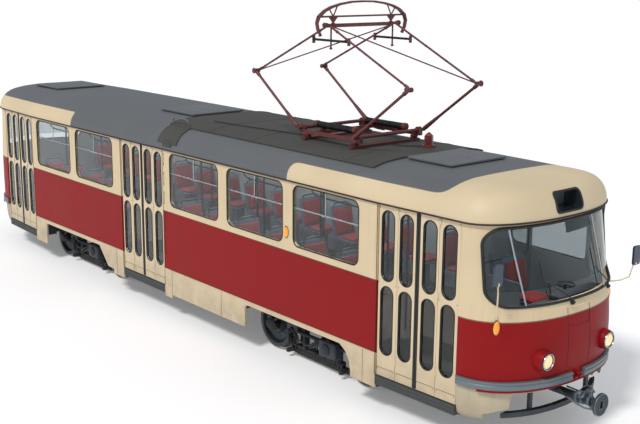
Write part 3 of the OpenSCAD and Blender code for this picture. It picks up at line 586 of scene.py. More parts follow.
def wall_zones(t, place):
    """Paint outside, pale lining on the faces that look inwards."""
    colour = body_zones(RED_TOP)(t, place)
    normal = t.add("SeparateXYZ", {"Vector": t.add("NewGeometry").outputs["Normal"]}).outputs["Y"]
    inner = t.math("LESS_THAN", t.math("MULTIPLY", normal, t.math("SIGN", axis(t, place, "Y"))), -0.5)
    return t.mix(inner, colour, LINING)


def roof_zones(t, place):
    """Grey, with the cream band round the two ends and down to the eave, its corners rounded."""
    x, z = axis(t, place, "X"), axis(t, place, "Z")
    low = t.math("SUBTRACT", 2.89, z)
    masks = []
    for start, cap, way, soft in ((3.12, 5.83, 1, 0.2), (2.88, 6.25, -1, 0.06)):
        along = t.math("MULTIPLY", x, way)
        side = t.math("SMOOTH_MIN", low, t.math("SUBTRACT", along, start), soft)
        masks.append(t.math("SMOOTH_MAX", side, t.math("SUBTRACT", along, cap), 0.3))
    cream = t.ramp(t.math("MAXIMUM", *masks), -0.004, 0.004)
    return t.mix(cream, ROOF_GREY, CREAM)


surface("side_paint", RED, zones=wall_zones, scale=1.6, mottle=0.09, streaks=0.10, splash=0.22,
    splash_top=1.0, roughness=0.46, grain=0.12, coat=0.02, specular=0.12)
surface("end_paint", RED, zones=body_zones(FRONT_RED_TOP), scale=1.6, mottle=0.09, streaks=0.08, splash=0.18,
    splash_top=1.0, roughness=0.42, grain=0.12, coat=0.02, specular=0.12)
surface("tail_paint", RED, zones=body_zones(RED_TOP), scale=1.6, mottle=0.09, streaks=0.14, splash=0.25,
    splash_top=1.0, roughness=0.46, grain=0.12, coat=0.02, specular=0.12)
surface("red_paint", RED, scale=2.0, mottle=0.1, streaks=0.1, splash=0.1, roughness=0.46, coat=0.02,
    specular=0.12)
# the cream's darkening towards the bottom is painted shade on the skirts, which tuck under
surface("cream_paint", CREAM, scale=1.8, mottle=0.07, streaks=0.10, splash=0.5, splash_top=1.1,
    roughness=0.45, grain=0.15, coat=0.15)
surface("roof_paint", ROOF_GREY, zones=roof_zones, scale=1.1, mottle=0.14, streaks=0.0, splash=0.0,
    roughness=0.55, grain=0.35)
surface("lining", LINING, scale=2.5, mottle=0.05, streaks=0.0, splash=0.0, roughness=0.5)


def planks(t, place):
    """Cross ribs of the walkway's mat."""
    wave = t.add("TexWave", {"Vector": place}, {"Scale": 9.0, "Distortion": 0.0})
    wave.bands_direction = "X"
    return t.math("MULTIPLY", wave.outputs[1], 1.5)


surface("walkway_mat", rgb(68, 67, 64), scale=3.0, mottle=0.25, splash=0.0, roughness=0.8, grain=0.8,
    extra_height=planks, bump=0.5, bump_depth=0.004)
surface("dark_steel", rgb(52, 62, 72), scale=4.0, mottle=0.3, streaks=0.2, splash=0.5, splash_top=0.9,
    roughness=0.5, grain=0.6, metallic=0.25, bump=0.3, dirt=rgb(62, 54, 46))
surface("brake_steel", rgb(40, 45, 50), scale=6.0, mottle=0.35, splash=0.6, splash_top=0.6, roughness=0.6,
    grain=0.8, metallic=0.3, bump=0.35, dirt=rgb(72, 60, 48))
surface("wheel_steel", rgb(70, 78, 84), scale=7.0, mottle=0.3, splash=0.5, splash_top=0.7, roughness=0.45,
    metallic=0.6, grain=0.4, dirt=rgb(70, 58, 46))


def boards(t, place):
    wave = t.add("TexWave", {"Vector": place}, {"Scale": 2.6, "Distortion": 0.6, "Detail": 1.0})
    wave.bands_direction = "Y"
    return wave.outputs[1]


surface("floor_wood", rgb(92, 78, 66), scale=5.0, mottle=0.25, splash=0.0, roughness=0.6, grain=0.5,
    extra_height=boards)


def weave(t, place):
    """Fine crossed threads."""
    a = t.add("TexWave", {"Vector": place}, {"Scale": 220.0})
    b = t.add("TexWave", {"Vector": place}, {"Scale": 220.0})
    a.bands_direction, b.bands_direction = "Y", "Z"
    return t.math("MULTIPLY", a.outputs[1], b.outputs[1])


surface("seat_red", rgb(160, 26, 36), scale=7.0, mottle=0.14, splash=0.0, roughness=0.55, grain=0.3,
    sheen=0.25, extra_height=weave, bump=0.2, bump_depth=0.0008)


def glass(name, tint, rough=0.03, alpha=1.0, film=0.0):
    """Clear or tinted glass with a light film of dust."""
    material = bpy.data.materials.new(name)
    material.use_nodes = True
    t = Tree(material.node_tree)
    shader = material.node_tree.nodes["Principled BSDF"]
    place = t.add("TexCoord").outputs["Object"]
    dust = t.ramp(t.noise(place, 2.2, 5.0), 0.45, 0.9)
    t.tree.links.new(t.mix(t.math("MULTIPLY", dust, film), tint, rgb(150, 145, 135)),
        shader.inputs["Base Color"])
    t.tree.links.new(t.math("MULTIPLY_ADD", dust, 0.08, rough), shader.inputs["Roughness"])
    shader.inputs["Transmission Weight"].default_value = 1.0
    shader.inputs["IOR"].default_value = 1.35
    shader.inputs["Alpha"].default_value = alpha
    MATERIALS[name] = material
    return material


glass("window_glass", rgb(206, 212, 214), film=0.12)
glass("screen_glass", rgb(170, 176, 178), film=0.1)
surface("lamp_glass", rgb(244, 218, 168), scale=20.0, mottle=0.15, splash=0.0, roughness=0.12, coat=0.6,
    emission=(rgb(255, 214, 150), 0.35))
surface("amber_glass", rgb(250, 160, 40), scale=20.0, mottle=0.1, splash=0.0, roughness=0.15, coat=0.6,
    emission=(rgb(255, 150, 30), 0.15))

# name, colour, scale, mottle, darkening towards the bottom, roughness, and what else differs
PLAIN = [
    ("apron_paint", (184, 170, 144), 1.8, 0.12, 0.8, 0.6, {"streaks": 0.2, "splash_top": 0.8, "grain": 0.3}),
    ("roof_grey", (98, 101, 104), 2.0, 0.12, 0.0, 0.55, {"grain": 0.4}),
    ("bumper_steel", (108, 118, 124), 3.0, 0.12, 0.2, 0.4, {"streaks": 0.1, "metallic": 0.35, "grain": 0.25}),
    ("step_steel", (74, 80, 80), 5.0, 0.25, 0.5, 0.55, {"metallic": 0.4, "grain": 0.6, "bump": 0.3}),
    ("bright_metal", (176, 182, 186), 8.0, 0.1, 0.1, 0.28, {"streaks": 0.05, "metallic": 0.9, "grain": 0.15}),
    ("rubber", (26, 27, 29), 9.0, 0.2, 0.15, 0.62, {"grain": 0.5, "bump": 0.2, "bump_depth": 0.001}),
    ("seam", (46, 34, 32), 9.0, 0.1, 0.0, 0.7, {}),
    ("pantograph_paint", (98, 44, 42), 9.0, 0.2, 0.0, 0.48, {"streaks": 0.1, "grain": 0.4}),
    ("spring_black", (24, 24, 26), 9.0, 0.2, 0.0, 0.45, {"metallic": 0.3}),
    ("arrester_red", (128, 48, 42), 9.0, 0.12, 0.0, 0.3, {"coat": 0.4}),
    ("seat_laminate", (98, 122, 142), 5.0, 0.08, 0.0, 0.32, {"coat": 0.2}),
    ("partition_grey", (138, 148, 154), 3.0, 0.06, 0.0, 0.45, {}),
    ("desk_grey", (66, 74, 80), 6.0, 0.12, 0.0, 0.55, {"grain": 0.6}),
    ("rail_black", (24, 25, 28), 9.0, 0.1, 0.0, 0.3, {"coat": 0.3}),
    ("blind_grey", (92, 102, 110), 4.0, 0.06, 0.0, 0.2, {"coat": 0.5}),
    ("mirror_blue", (28, 44, 66), 6.0, 0.1, 0.0, 0.35, {"coat": 0.3}),
    ("sign_black", (34, 40, 46), 4.0, 0.1, 0.0, 0.12, {"coat": 0.6}),
    ("tail_glass", (150, 20, 18), 20.0, 0.1, 0.0, 0.15, {"coat": 0.6}),
]
for name, colour, scale, mottle, splash, roughness, wear in PLAIN:
    surface(name, rgb(*colour), scale=scale, mottle=mottle, splash=splash, roughness=roughness, **wear)


# ---- finishes of the frame's own pieces ----

CAD_FINISH = {"floor": "floor_wood", "underframe": "dark_steel", "left_wall": "side_paint",
    "right_wall_front": "side_paint", "right_wall_rear": "side_paint", "front_end": "end_paint",
    "rear_end": "tail_paint", "roof": "roof_paint", "windscreen": "screen_glass",
    "rear_window": "window_glass", "side_windows": "window_glass", "skirts": "cream_paint",
    "aprons": "cream_paint", "bumpers": "bumper_steel", "door_steps": "step_steel",
    "headlights": "lamp_glass",
    "marker_lamps": "amber_glass", "destination_sign": "sign_black", "mirrors": "mirror_blue",
    "roof_walkway": "walkway_mat", "roof_vents": "roof_grey", "pantograph_base": "pantograph_paint",
    "pantograph_springs": "spring_black", "surge_arrester": "arrester_red", "seats": "seat_laminate",
    "seat_cushions": "seat_red", "driver_desk": "desk_grey", "cab_partition": "partition_grey",
    "handrails": "rail_black", "pantograph_head": "pantograph_paint", "front_coupler": "dark_steel",
    "rear_coupler": "dark_steel"}
for side in ("front", "rear"):
    CAD_FINISH["pantograph_lower_" + side] = CAD_FINISH["pantograph_upper_" + side] = "pantograph_paint"
    CAD_FINISH[side + "_bogie_frame"] = CAD_FINISH[side + "_bogie_motors"] = "dark_steel"
    CAD_FINISH[side + "_track_brakes"] = "brake_steel"
for i in range(1, 5):
    CAD_FINISH[f"wheelset_{i}"] = "wheel_steel"
    for door in DOORS:
        CAD_FINISH[f"{door}_door_leaf_{i}"] = "cream_paint"
for node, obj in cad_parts.items():
    obj.data.materials.clear()
    obj.data.materials.append(MATERIALS[CAD_FINISH[node]])


# ---- the two ends, the roof and their glass ----

STAND_X = Matrix(((0, 0, 1, 0), (1, 0, 0, 0), (0, 1, 0, 0), (0, 0, 0, 1)))   # X, Y of an outline become Y, Z
STAND_Y = Matrix(((1, 0, 0, 0), (0, 0, -1, 0), (0, 1, 0, 0), (0, 0, 0, 1)))  # X, Y of an outline become X, Z


def prism_x(outline, x0, x1):
    return plate(outline, x1 - x0, shift(x0) @ STAND_X)


def inset(outline, d):
    """A rounded rectangle's outline moved inwards by d, seen from its middle."""
    cx = sum(p[0] for p in outline) / len(outline)
    cy = sum(p[1] for p in outline) / len(outline)
    wide = max(p[0] for p in outline) - cx
    high = max(p[1] for p in outline) - cy
    return [(cx + (x - cx) * (1 - d / wide), cy + (y - cy) * (1 - d / high)) for x, y in outline]


def fine(points, step=0.05, closed=True):
    """The same line with more points on its long stretches."""
    out = []
    for a, b in zip(points, points[1:] + points[:1] if closed else points[1:]):
        n = max(1, round(math.dist(a, b) / step))
        out += [tuple(p + (q - p) * i / n for p, q in zip(a, b)) for i in range(n)]
    return out if closed else out + [points[-1]]


def end_shell(levels, x0, n, outline, mirrored):
    obj = shell(end_rings(levels, x0, n))
    for _ in range(2):
        obj.data.materials.append(None)
    apply(obj, "SOLIDIFY", thickness=WALL_T, offset=-1, material_offset=1)
    cut(obj, prism_x(outline, x0 + 0.12, NOSE_X + 0.1))
    return mirrored_x(obj) if mirrored else obj


def mirrored_x(obj):
    obj.data.transform(FLIP_X)
    obj.data.flip_normals()
    return obj


def end_pane(levels, x0, n, outline, mirrored):
    obj = shell(end_rings(levels, x0, n, -0.02, outline[-1][1] - 0.02, 2.65, 14))
    apply(obj, "SOLIDIFY", thickness=0.007, offset=-1)
    cutter = prism_x(inset(outline, 0.002), x0 + 0.1, NOSE_X + 0.1)
    apply(obj, "BOOLEAN", operation="INTERSECT", object=cutter, solver="EXACT")
    bpy.data.objects.remove(cutter)
    return mirrored_x(obj) if mirrored else obj


SCREEN = rounded(-1.11, 1.735, 1.11, 2.605, 0.19, 8)
REAR_SCREEN = rounded(-0.82, 1.79, 0.82, 2.592, 0.15, 8)
done(end_shell(FRONT_LEVELS, FRONT_X, FRONT_BOW, SCREEN, False), "front_end_shell", ["end_paint", "lining"],
    replaces=["front_end"])
done(end_shell(REAR_LEVELS, -REAR_X, REAR_BOW, REAR_SCREEN, True), "rear_end_shell", ["tail_paint", "lining"],
    replaces=["rear_end"])
done(end_pane(FRONT_LEVELS, FRONT_X, FRONT_BOW, SCREEN, False), "windscreen_pane", "screen_glass",
    replaces=["windscreen"])
done(end_pane(REAR_LEVELS, -REAR_X, REAR_BOW, REAR_SCREEN, True), "rear_pane", "window_glass",
    replaces=["rear_window"])
done(tube([front_at(y, z, 0.001) for y, z in fine(inset(SCREEN, 0.004))], 0.019, closed=True),
    "windscreen_rubber", "rubber")
done(tube([rear_at(y, z, 0.001) for y, z in fine(inset(REAR_SCREEN, 0.004))], 0.019, closed=True),
    "rear_window_rubber", "rubber")

SHARES = [0, 0.035, 0.07, 0.11, 0.16, 0.22, 0.28, 0.34, 0.4, 0.46, 0.52, 0.58, 0.64, 0.7, 0.76, 0.82, 0.88,
    0.94, 1]
rings = []
for share in SHARES:
    z, half, back = roof_level(share)
    ring = round_plan(BROW_X - back, TAIL_X - back, half)
    rings.append([(x, y, z) for x, y in ring + ring[:1]])
for half, back in ((0.4, 1.15), (0.25, 1.25), (0.1, 1.33), (0.0, 1.4)):
    ring = round_plan(BROW_X - back, TAIL_X - back, half)
    rings.append([(x, y, WALL_TOP + ROOF_RISE) for x, y in ring + ring[:1]])
roof = shell(rings, closed=True, name="roof_skin")
for _ in range(2):
    roof.data.materials.append(None)
apply(roof, "SOLIDIFY", thickness=0.05, offset=-1, material_offset=1)
SIGN = rounded(-0.235, 2.705, 0.235, 2.935, 0.045, 5)
cut(roof, prism_x(inset(SIGN, 0.012), 6.3, 6.8))
done(roof, "roof_skin", ["roof_paint", "lining"], replaces=["roof"], smooth=40)

# the rain gutter under the roof's edge, and the lip round the brow, in the dark seam colour: partly the
# gutter itself, partly a painted shadow line under the eave
eave = round_plan(BROW_X + 0.002, TAIL_X + 0.002, ROOF_HALF_W + 0.002)
done(tube([(x, y, 2.652) for x, y in fine(eave, 0.3)], 0.011, closed=True), "gutter_and_eave_shadow", "seam")


# ---- aprons and bumpers ----

def apron(levels, x0, n):
    nose = NOSE_X - levels[0][1]
    rings = []
    for z, back in ((0.39, 0.16), (0.42, 0.115), (0.46, 0.085), (0.52, 0.062), (0.6, 0.045), (0.68, 0.035),
            (0.769, 0.03)):
        plan = bow(x0 + 0.001, nose - back - x0, END_HALF_W - back * 0.35, n, 34)
        rings.append([(x, y, z) for x, y in plan])
    obj = shell(rings)
    apply(obj, "SOLIDIFY", thickness=0.03, offset=-1)
    cut(obj, block((x0 + 0.34, -0.86, 0.2), (NOSE_X + 0.1, 0.86, 0.716), 0.05, 4))
    side = [(-1.3, 0.2), (-1.3, 0.38), (-1.193, 0.4), (-1.1, 0.44), (-0.98, 0.5), (-0.84, 0.54), (0.84, 0.54),
        (0.98, 0.5), (1.1, 0.44), (1.193, 0.4), (1.3, 0.38), (1.3, 0.2)]
    return cut(obj, prism_x(side[::-1], x0 + 0.3, NOSE_X + 0.1))


front_apron = apron(FRONT_LEVELS, FRONT_X, FRONT_BOW)
rear_apron = mirrored_x(apron(REAR_LEVELS, -REAR_X, REAR_BOW))
done(front_apron, "front_apron", "apron_paint", replaces=["aprons"], smooth=45)
done(rear_apron, "rear_apron", "apron_paint", smooth=45)

BUMPER_SECTION = [(0.002, 0.774), (0.034, 0.774), (0.044, 0.784), (0.044, 0.83), (0.036, 0.838),
    (0.036, 0.846), (0.044, 0.854), (0.044, 0.874), (0.034, 0.879), (0.002, 0.879)]


def bumper(levels, x0, n):
    """The section carried round the end, with a gap at the towing eye."""
    rings = []
    for out, z in BUMPER_SECTION:
        half = END_HALF_W + out - (0.012 if out > 0.01 else 0)
        rings.append([(x, y, z) for x, y in bow(x0, NOSE_X - lean(levels, z, 1) + out - x0, half, n, 40)])
    obj = shell(rings + rings[:1])
    outward(obj)
    cut(obj, block((x0 + 0.2, -0.11, 0.7), (NOSE_X + 0.2, 0.11, 0.95), 0.01))
    cut(obj, block((x0 - 0.2, -1.4, 0.7), (x0 + 0.02, 1.4, 0.95), 0))
    with Edit(obj) as edit:
        edit.pick("EDGE", lambda e: e.is_boundary)
        bpy.ops.mesh.fill_holes(sides=0)
    return outward(obj)


done(bumper(FRONT_LEVELS, FRONT_X, FRONT_BOW), "front_bumper", "bumper_steel", replaces=["bumpers"])
done(mirrored_x(bumper(REAR_LEVELS, -REAR_X, REAR_BOW)), "rear_bumper", "bumper_steel")
for name, at in (("front_bumper_line", front_at), ("rear_bumper_line", rear_at)):
    line = [at(y / 100, 0.764, 0.028) for y in range(-116, 117, 4)]
    done(tube(line, 0.012), name, "red_paint")


# ---- side windows ----

def side_y(x):
    """Half width of the body's sides at x, which narrow along the end doors."""
    return HALF_W - TAPER * max(0, x - 4.844, -4.46 - x) / DOOR_W


def window_line(x, d):
    return rounded(x - WINDOW_W / 2 + d, SILL + d, x + WINDOW_W / 2 - d, HEAD - d, 0.11 - d, 6)


def side_line(points, side, out=0.0):
    return [(x, side * (side_y(x) + out), z) for x, z in points]


DIVIDER_Z = 2.305
seals, dividers = [], []
for side, row in ((-1, FRONT_ROW + REAR_ROW), (1, LEFT_ROW)):
    for x in row:
        seals.append(tube(side_line(fine(window_line(x, 0.003), 0.2), side, -0.004), 0.0105, closed=True,
            rings=1))
        half = WINDOW_W / 2 - 0.012
        across = [(x - half, DIVIDER_Z), (x, DIVIDER_Z), (x + half, DIVIDER_Z)]
        upright = [(x, DIVIDER_Z), (x, HEAD - 0.01)]
        dividers += [tube(side_line(across, side, -0.012), 0.0085, rings=1),
            tube(side_line(upright, side, -0.012), 0.006, rings=1)]
        for end in (-1, 1):
            catch_x, catch_y = x + end * 0.04, side * (side_y(x) - 0.014)
            dividers.append(block((catch_x - 0.015, catch_y - 0.006, DIVIDER_Z - 0.02),
                (catch_x + 0.015, catch_y + 0.006, DIVIDER_Z - 0.004), 0.002, 1))
done(seals, "window_rubbers", "rubber")
done(dividers, "window_dividers", "bright_metal")

# raised moulding along the foot of the red band, and the joints of the skirt's panels
trims = [tube(side_line([(x0, 0.772), (x1, 0.772)], -1, 0.001), 0.006)
    for x0, x1 in ((0.055, 4.842), (-4.458, -1.22))]
trims.append(tube(side_line([(6.11, 0.772), (4.844, 0.772), (-4.46, 0.772), (-5.725, 0.772)], 1, 0.001),
    0.006))
done(trims, "side_trim", "cream_paint")
seams = []
for x, low in ((0.26, 0.39), (1.58, 0.39), (4.62, 0.34), (-1.44, 0.34)):
    seams.append(tube(side_line([(x, low), (x, 0.765)], -1, 0.0005), 0.0025))
for x in (4.838, 0.058, -1.222, -4.452):
    seams.append(tube(side_line([(x, 0.5), (x, 2.64)], -1, 0.0008), 0.004))
for z in (0.79, 1.693):
    for x0, x1 in ((0.055, 4.842), (-4.458, -1.22)):
        seams.append(tube(side_line([(x0, z), (x1, z)], -1, 0.0002), 0.0022))
done(seams, "panel_seams", "seam")

# toe holes up the pillar behind the middle door as dark plates, painted shade in the holes, with the step box
# and rail on the roof's collar
rungs = []
for z in (1.02, 1.2, 1.38, 1.56):
    rungs.append(block((0.085, -1.2535, z), (0.1, -1.2495, z + 0.11), 0.001, 1))
for z in (1.8, 2.1, 2.4):
    for dz in (0, 0.16):
        rungs.append(block((0.085, -1.2535, z + dz), (0.1, -1.2495, z + dz + 0.035), 0.001, 1))
    rungs.append(block((0.088, -1.252, z + 0.04), (0.097, -1.2495, z + 0.155), 0.001, 1))
done(rungs, "toe_hole_shade", "seam")
step_box = block((0.06, -1.262, 2.75), (0.36, -1.19, 2.80), 0.012)
lid = block((0.09, -1.27, 2.70), (0.33, -1.2, 2.755), 0.01)
done([step_box, lid], "collar_step", "walkway_mat")
rail = tube([(0.0, -0.96, 2.99), (0.0, -1.0, 3.08), (0.05, -1.0, 3.11), (0.37, -1.0, 3.11),
    (0.42, -1.0, 3.08), (0.42, -0.96, 2.99)], 0.011)
done(rail, "collar_rail", "roof_grey")


# ---- doors ----

def door_place(door):
    x, way = DOORS[door]
    y = -HALF_W + (TAPER / 2 if way else 0)
    return Matrix.Translation((x, y, 0)) @ Matrix.Rotation(way * math.atan2(TAPER, DOOR_W), 4, "Z")


def leaf_place(door, n):
    """From a leaf's own frame, X from its post and Y inwards, to its doorway."""
    return door_place(door) @ (FLIP_X if n > 2 else Matrix()) @ shift(-DOOR_W / 2, RECESS, 0)


PANE_R = 0.1
LEAF_PANES = [(0.785, 1.65), (1.715, 2.58)]


def stand(outline, depth):
    """A plate with an outline in X and Z, its faces at y 0 and y depth."""
    return settle(plate(outline, depth), shift(0, depth, 0) @ STAND_Y)


def leaf_rubbers(middle, edge):
    """Black frames of a leaf's two windows on both faces, and the rubber at its free edge."""
    parts = []
    for low, high in LEAF_PANES:
        line = rounded(middle - 0.1015, low + 0.001, middle + 0.1015, high - 0.001, PANE_R, 6)
        for y in (0.0035, LEAF_T - 0.0035):
            parts.append(tube([(x, y, z) for x, z in fine(line, 0.3)], 0.0088, closed=True, rings=2))
    if edge:
        parts.append(block((0.601, -0.004, 0.505), (0.633, LEAF_T + 0.004, 2.635), 0.006, 2))
    parts.append(block((edge or 0.06, 0.004, 0.494), (edge + 0.29 if edge else 0.3, 0.03, 0.505), 0.004, 1))
    return joined("leaf_rubbers", *parts)


def leaf_fittings(middle, start):
    """The pressed line near the foot, its bolts, and the hinge screws, all dark; the pressed line's dark is
    painted shade in its crease.
    """
    parts = [tube([(start + 0.012, -0.0006, 0.605), (start + 0.296, -0.0006, 0.605)], 0.0025, rings=1)]
    for z in (0.585, 1.683, 2.61):
        for x in (start + 0.02, start + 0.288):
            parts.append(turned((x, 0.001, z), (0, -1, 0), [(0, 0.006), (0.003, 0.006), (0.005, 0.003)], 8))
    return joined("leaf_fittings", *parts)


def leaf_glass(middle):
    parts = []
    for low, high in LEAF_PANES:
        line = rounded(middle - 0.101, low + 0.001, middle + 0.101, high - 0.001, PANE_R, 6)
        pane = stand(line, 0.005)
        pane.data.transform(shift(0, LEAF_T / 2 - 0.0025, 0))
        parts.append(pane)
    return joined("leaf_glass", *parts)


LEAF_KINDS = {
    "outer": (leaf_rubbers(0.16, 0), leaf_fittings(0.16, 0.006), leaf_glass(0.16)),
    "inner": (leaf_rubbers(0.456, 0.325), leaf_fittings(0.456, 0.32), leaf_glass(0.456)),
}
for door in DOORS:
    for n in range(1, 5):
        place = leaf_place(door, n)
        rubbers, fittings, panes = LEAF_KINDS["outer" if n in (1, 4) else "inner"]
        body = f"{door}_door_leaf_{n}"
        for part, name, material, slot in ((rubbers, "rubbers", "rubber", "spring_black"),
                (fittings, "fittings", "seam", "spring_black"),
                (panes, "panes", "window_glass", "window_glass")):
            done(again(part, place), f"{body}_{name}", material, body=body)
for parts in LEAF_KINDS.values():
    for part in parts:
        bpy.data.objects.remove(part)

for door in DOORS:
    place = door_place(door)
    # a bead over the leaves, and the ribbed edge of the lower step
    header = tube([(-0.63, 0.004, 2.6465), (0.63, 0.004, 2.6465)], 0.005)
    done(settle(header, place), f"{door}_door_header", "cream_paint")
    edge = [tube([(-0.633, -0.001, z), (0.633, -0.001, z)], 0.004, rings=1) for z in (0.40, 0.44, 0.482)]
    edge += [block((-0.62, 0.03 + 0.045 * i, 0.4895), (0.62, 0.05 + 0.045 * i, 0.493), 0.001, 1)
        for i in range(7)]
    done(settle(joined("step_edge", *edge), place), f"{door}_step_treads", "step_steel")


# ---- roof walkway, collar and vents ----

def strip(x0, x1, low, high, under, over, both=False):
    """A mat lying on the roof's right half, or across both halves, from share low to share high."""
    top, foot = roof_path(low, high, over), roof_path(low, high, under)
    if both:
        top += [(-y, z) for y, z in reversed(top)]
        foot += [(-y, z) for y, z in reversed(foot)]
    return prism_x(top + foot[::-1], x0, x1)


WALK_EDGE, COLLAR_EDGE = 0.6, 0.16
walk = [strip(-0.1, 4.49, WALK_EDGE, 1, 0.001, 0.018, both=True)]
edge_y, edge_z = roof_path(WALK_EDGE, 1, 0.014)[0]
for side in (-1, 1):
    walk.append(tube([(x, side * -edge_y, edge_z) for x in (-0.1, 2.2, 4.49)], 0.008, rings=1))
over = roof_path(WALK_EDGE, 1, 0.019)
over += [(-y, z) for y, z in reversed(over)]
for x in (-0.095, 0.95, 2.0, 3.95, 4.485):
    walk.append(tube([(x, y, z) for y, z in over], 0.004, rings=1))
done(walk, "roof_mat", "walkway_mat", replaces=["roof_walkway"])
collar = [strip(-0.05, 0.47, COLLAR_EDGE, WALK_EDGE + 0.02, 0.001, 0.013)]
for x in (-0.045, 0.465):
    collar.append(tube([(x, y, z) for y, z in roof_path(COLLAR_EDGE, WALK_EDGE, 0.012)], 0.006, rings=1))
done(collar, "roof_collar", "walkway_mat")

vents = []
for x, length in ((4.93, 0.76), (-0.69, 0.96), (-5.3, 0.96)):
    outline = rounded(x - length / 2 + 0.002, -0.498, x + length / 2 - 0.002, 0.498, 0.02, 3)
    vents.append(plate(outline, 0.026, shift(0, 0, 3.062), bevel=0.006))
    rim = rounded(x - length / 2 + 0.035, -0.465, x + length / 2 - 0.035, 0.465, 0.02, 3)
    vents.append(plate(rim, 0.02, shift(0, 0, 3.048)))
    for y in (-0.3, 0, 0.3):
        vents.append(tube([(x - length / 2 + 0.05, y, 3.088), (x + length / 2 - 0.05, y, 3.088)], 0.0025,
            rings=1))
done(vents, "vent_covers", "roof_grey", replaces=["roof_vents"])
WIRE_Z = 3.082
done(tube([(0.55, -0.62, 3.078), (1.4, -0.55, WIRE_Z), (2.3, -0.42, WIRE_Z), (2.6, -0.3, WIRE_Z)], 0.007),
    "roof_cable_rear", "rubber")
done(tube([(3.75, 0.0, WIRE_Z), (3.95, 0.08, WIRE_Z), (4.12, 0.2, 3.084)], 0.007), "roof_cable_front",
    "rubber")


# ---- lamps ----

HEAD_Y, HEAD_Z = 0.57, 1.11
housing = [(0, 0.128), (0.05, 0.127), (0.11, 0.123), (0.16, 0.116), (0.195, 0.108), (0.2, 0.1),
    (0.188, 0.096)]
ring = [(0, 0.099), (0.002, 0.106), (0.016, 0.107), (0.022, 0.102), (0.022, 0.09), (0.012, 0.086)]
lens = [(0, 0.088), (0.008, 0.088), (0.018, 0.08), (0.027, 0.06), (0.032, 0.035), (0.034, 0.006)]
for side, label in ((-1, "right"), (1, "left")):
    y = side * HEAD_Y
    start = front_at(y + side * 0.11, HEAD_Z).x - 0.02
    base = turned((start, y, HEAD_Z), (1, 0, 0), [(d * (6.915 - start) / 0.2, r) for d, r in housing], 40)
    done(base, f"{label}_headlamp_housing", "red_paint", replaces=["headlights"] if side < 0 else [])
    black = turned((6.9, y, HEAD_Z), (1, 0, 0), ring, 40)
    done(black, f"{label}_headlamp_ring", "rubber")
    rim = tube([(6.922, y + 0.092 * math.cos(a / 18 * math.pi), HEAD_Z + 0.092 * math.sin(a / 18 * math.pi))
        for a in range(36)], 0.006, closed=True)
    done(rim, f"{label}_headlamp_rim", "bright_metal")
    done(turned((6.896, y, HEAD_Z), (1, 0, 0), lens, 40), f"{label}_headlamp_lens", "lamp_glass")


def oval_lamp(place, way, wide, high, deep):
    """A domed oval lens in its dark rim, facing along way."""
    dome = turned((0, 0, 0), (0, 0, 1), [(0, 1.0), (0.35, 0.97), (0.7, 0.8), (0.9, 0.5), (1.0, 0.12)], 28)
    rim = tube([(math.cos(a / 14 * math.pi), math.sin(a / 14 * math.pi), 0.1) for a in range(28)], 0.14,
        closed=True)
    frame_ = aimed(place, way) @ Matrix.Diagonal((wide, high, deep, 1))
    settle(dome, frame_)
    settle(rim, frame_)
    return dome, rim


TURN_Y, TURN_Z, TAIL_Y = 1.035, 1.505, 0.64
lamps, rims, tails = [], [], []
for side in (-1, 1):
    turn_at = front_at(side * TURN_Y, TURN_Z)
    turn_way = front_at(side * TURN_Y, TURN_Z, 0.1) - front_at(side * 1.02, TURN_Z)
    for place, way, wide, high, deep, kind in (
            ((3.1, side * 1.25, 1.95), (0, side, 0), 0.045, 0.075, 0.026, lamps),
            (turn_at, turn_way, 0.05, 0.082, 0.03, lamps),
            (rear_at(side * TAIL_Y, 1.25), (-1, side * 0.25, 0), 0.066, 0.066, 0.03, lamps),
            (rear_at(side * TAIL_Y, 1.05), (-1, side * 0.25, 0), 0.066, 0.066, 0.03, tails)):
        way = Vector(way).normalized()
        way.z = 0
        dome, rim = oval_lamp(place, way, wide, high, deep)
        kind.append(dome)
        rims.append(rim)
done(lamps, "turn_lamps", "amber_glass", replaces=["marker_lamps"])
done(tails, "tail_lamps", "tail_glass")
done(rims, "lamp_rims", "rubber")


# ---- destination box in the brow ----

frame_line = [roof_front_x(y, z, 0.003) for y, z in fine(inset(SIGN, 0.004), 0.03)]
done(tube(frame_line, 0.013, closed=True), "sign_rubber", "rubber")
case = prism_x(inset(SIGN, 0.011), 6.36, 6.7)
with Edit(case) as edit:
    edit.pick("FACE", lambda f: abs(f.normal.x) > 0.9)
    bpy.ops.mesh.delete(type="FACE")
    for v in bmesh.from_edit_mesh(case.data).verts:
        if v.co.x > 6.5:
            v.co.x = roof_front_x(v.co.y, v.co.z, 0.002).x
apply(case, "SOLIDIFY", thickness=0.006, offset=-1)
done(outward(case), "sign_case", "sign_black", replaces=["destination_sign"])
done(prism_x(inset(SIGN, 0.014), 6.4, 6.41), "sign_blind", "blind_grey")


# ---- mirrors ----

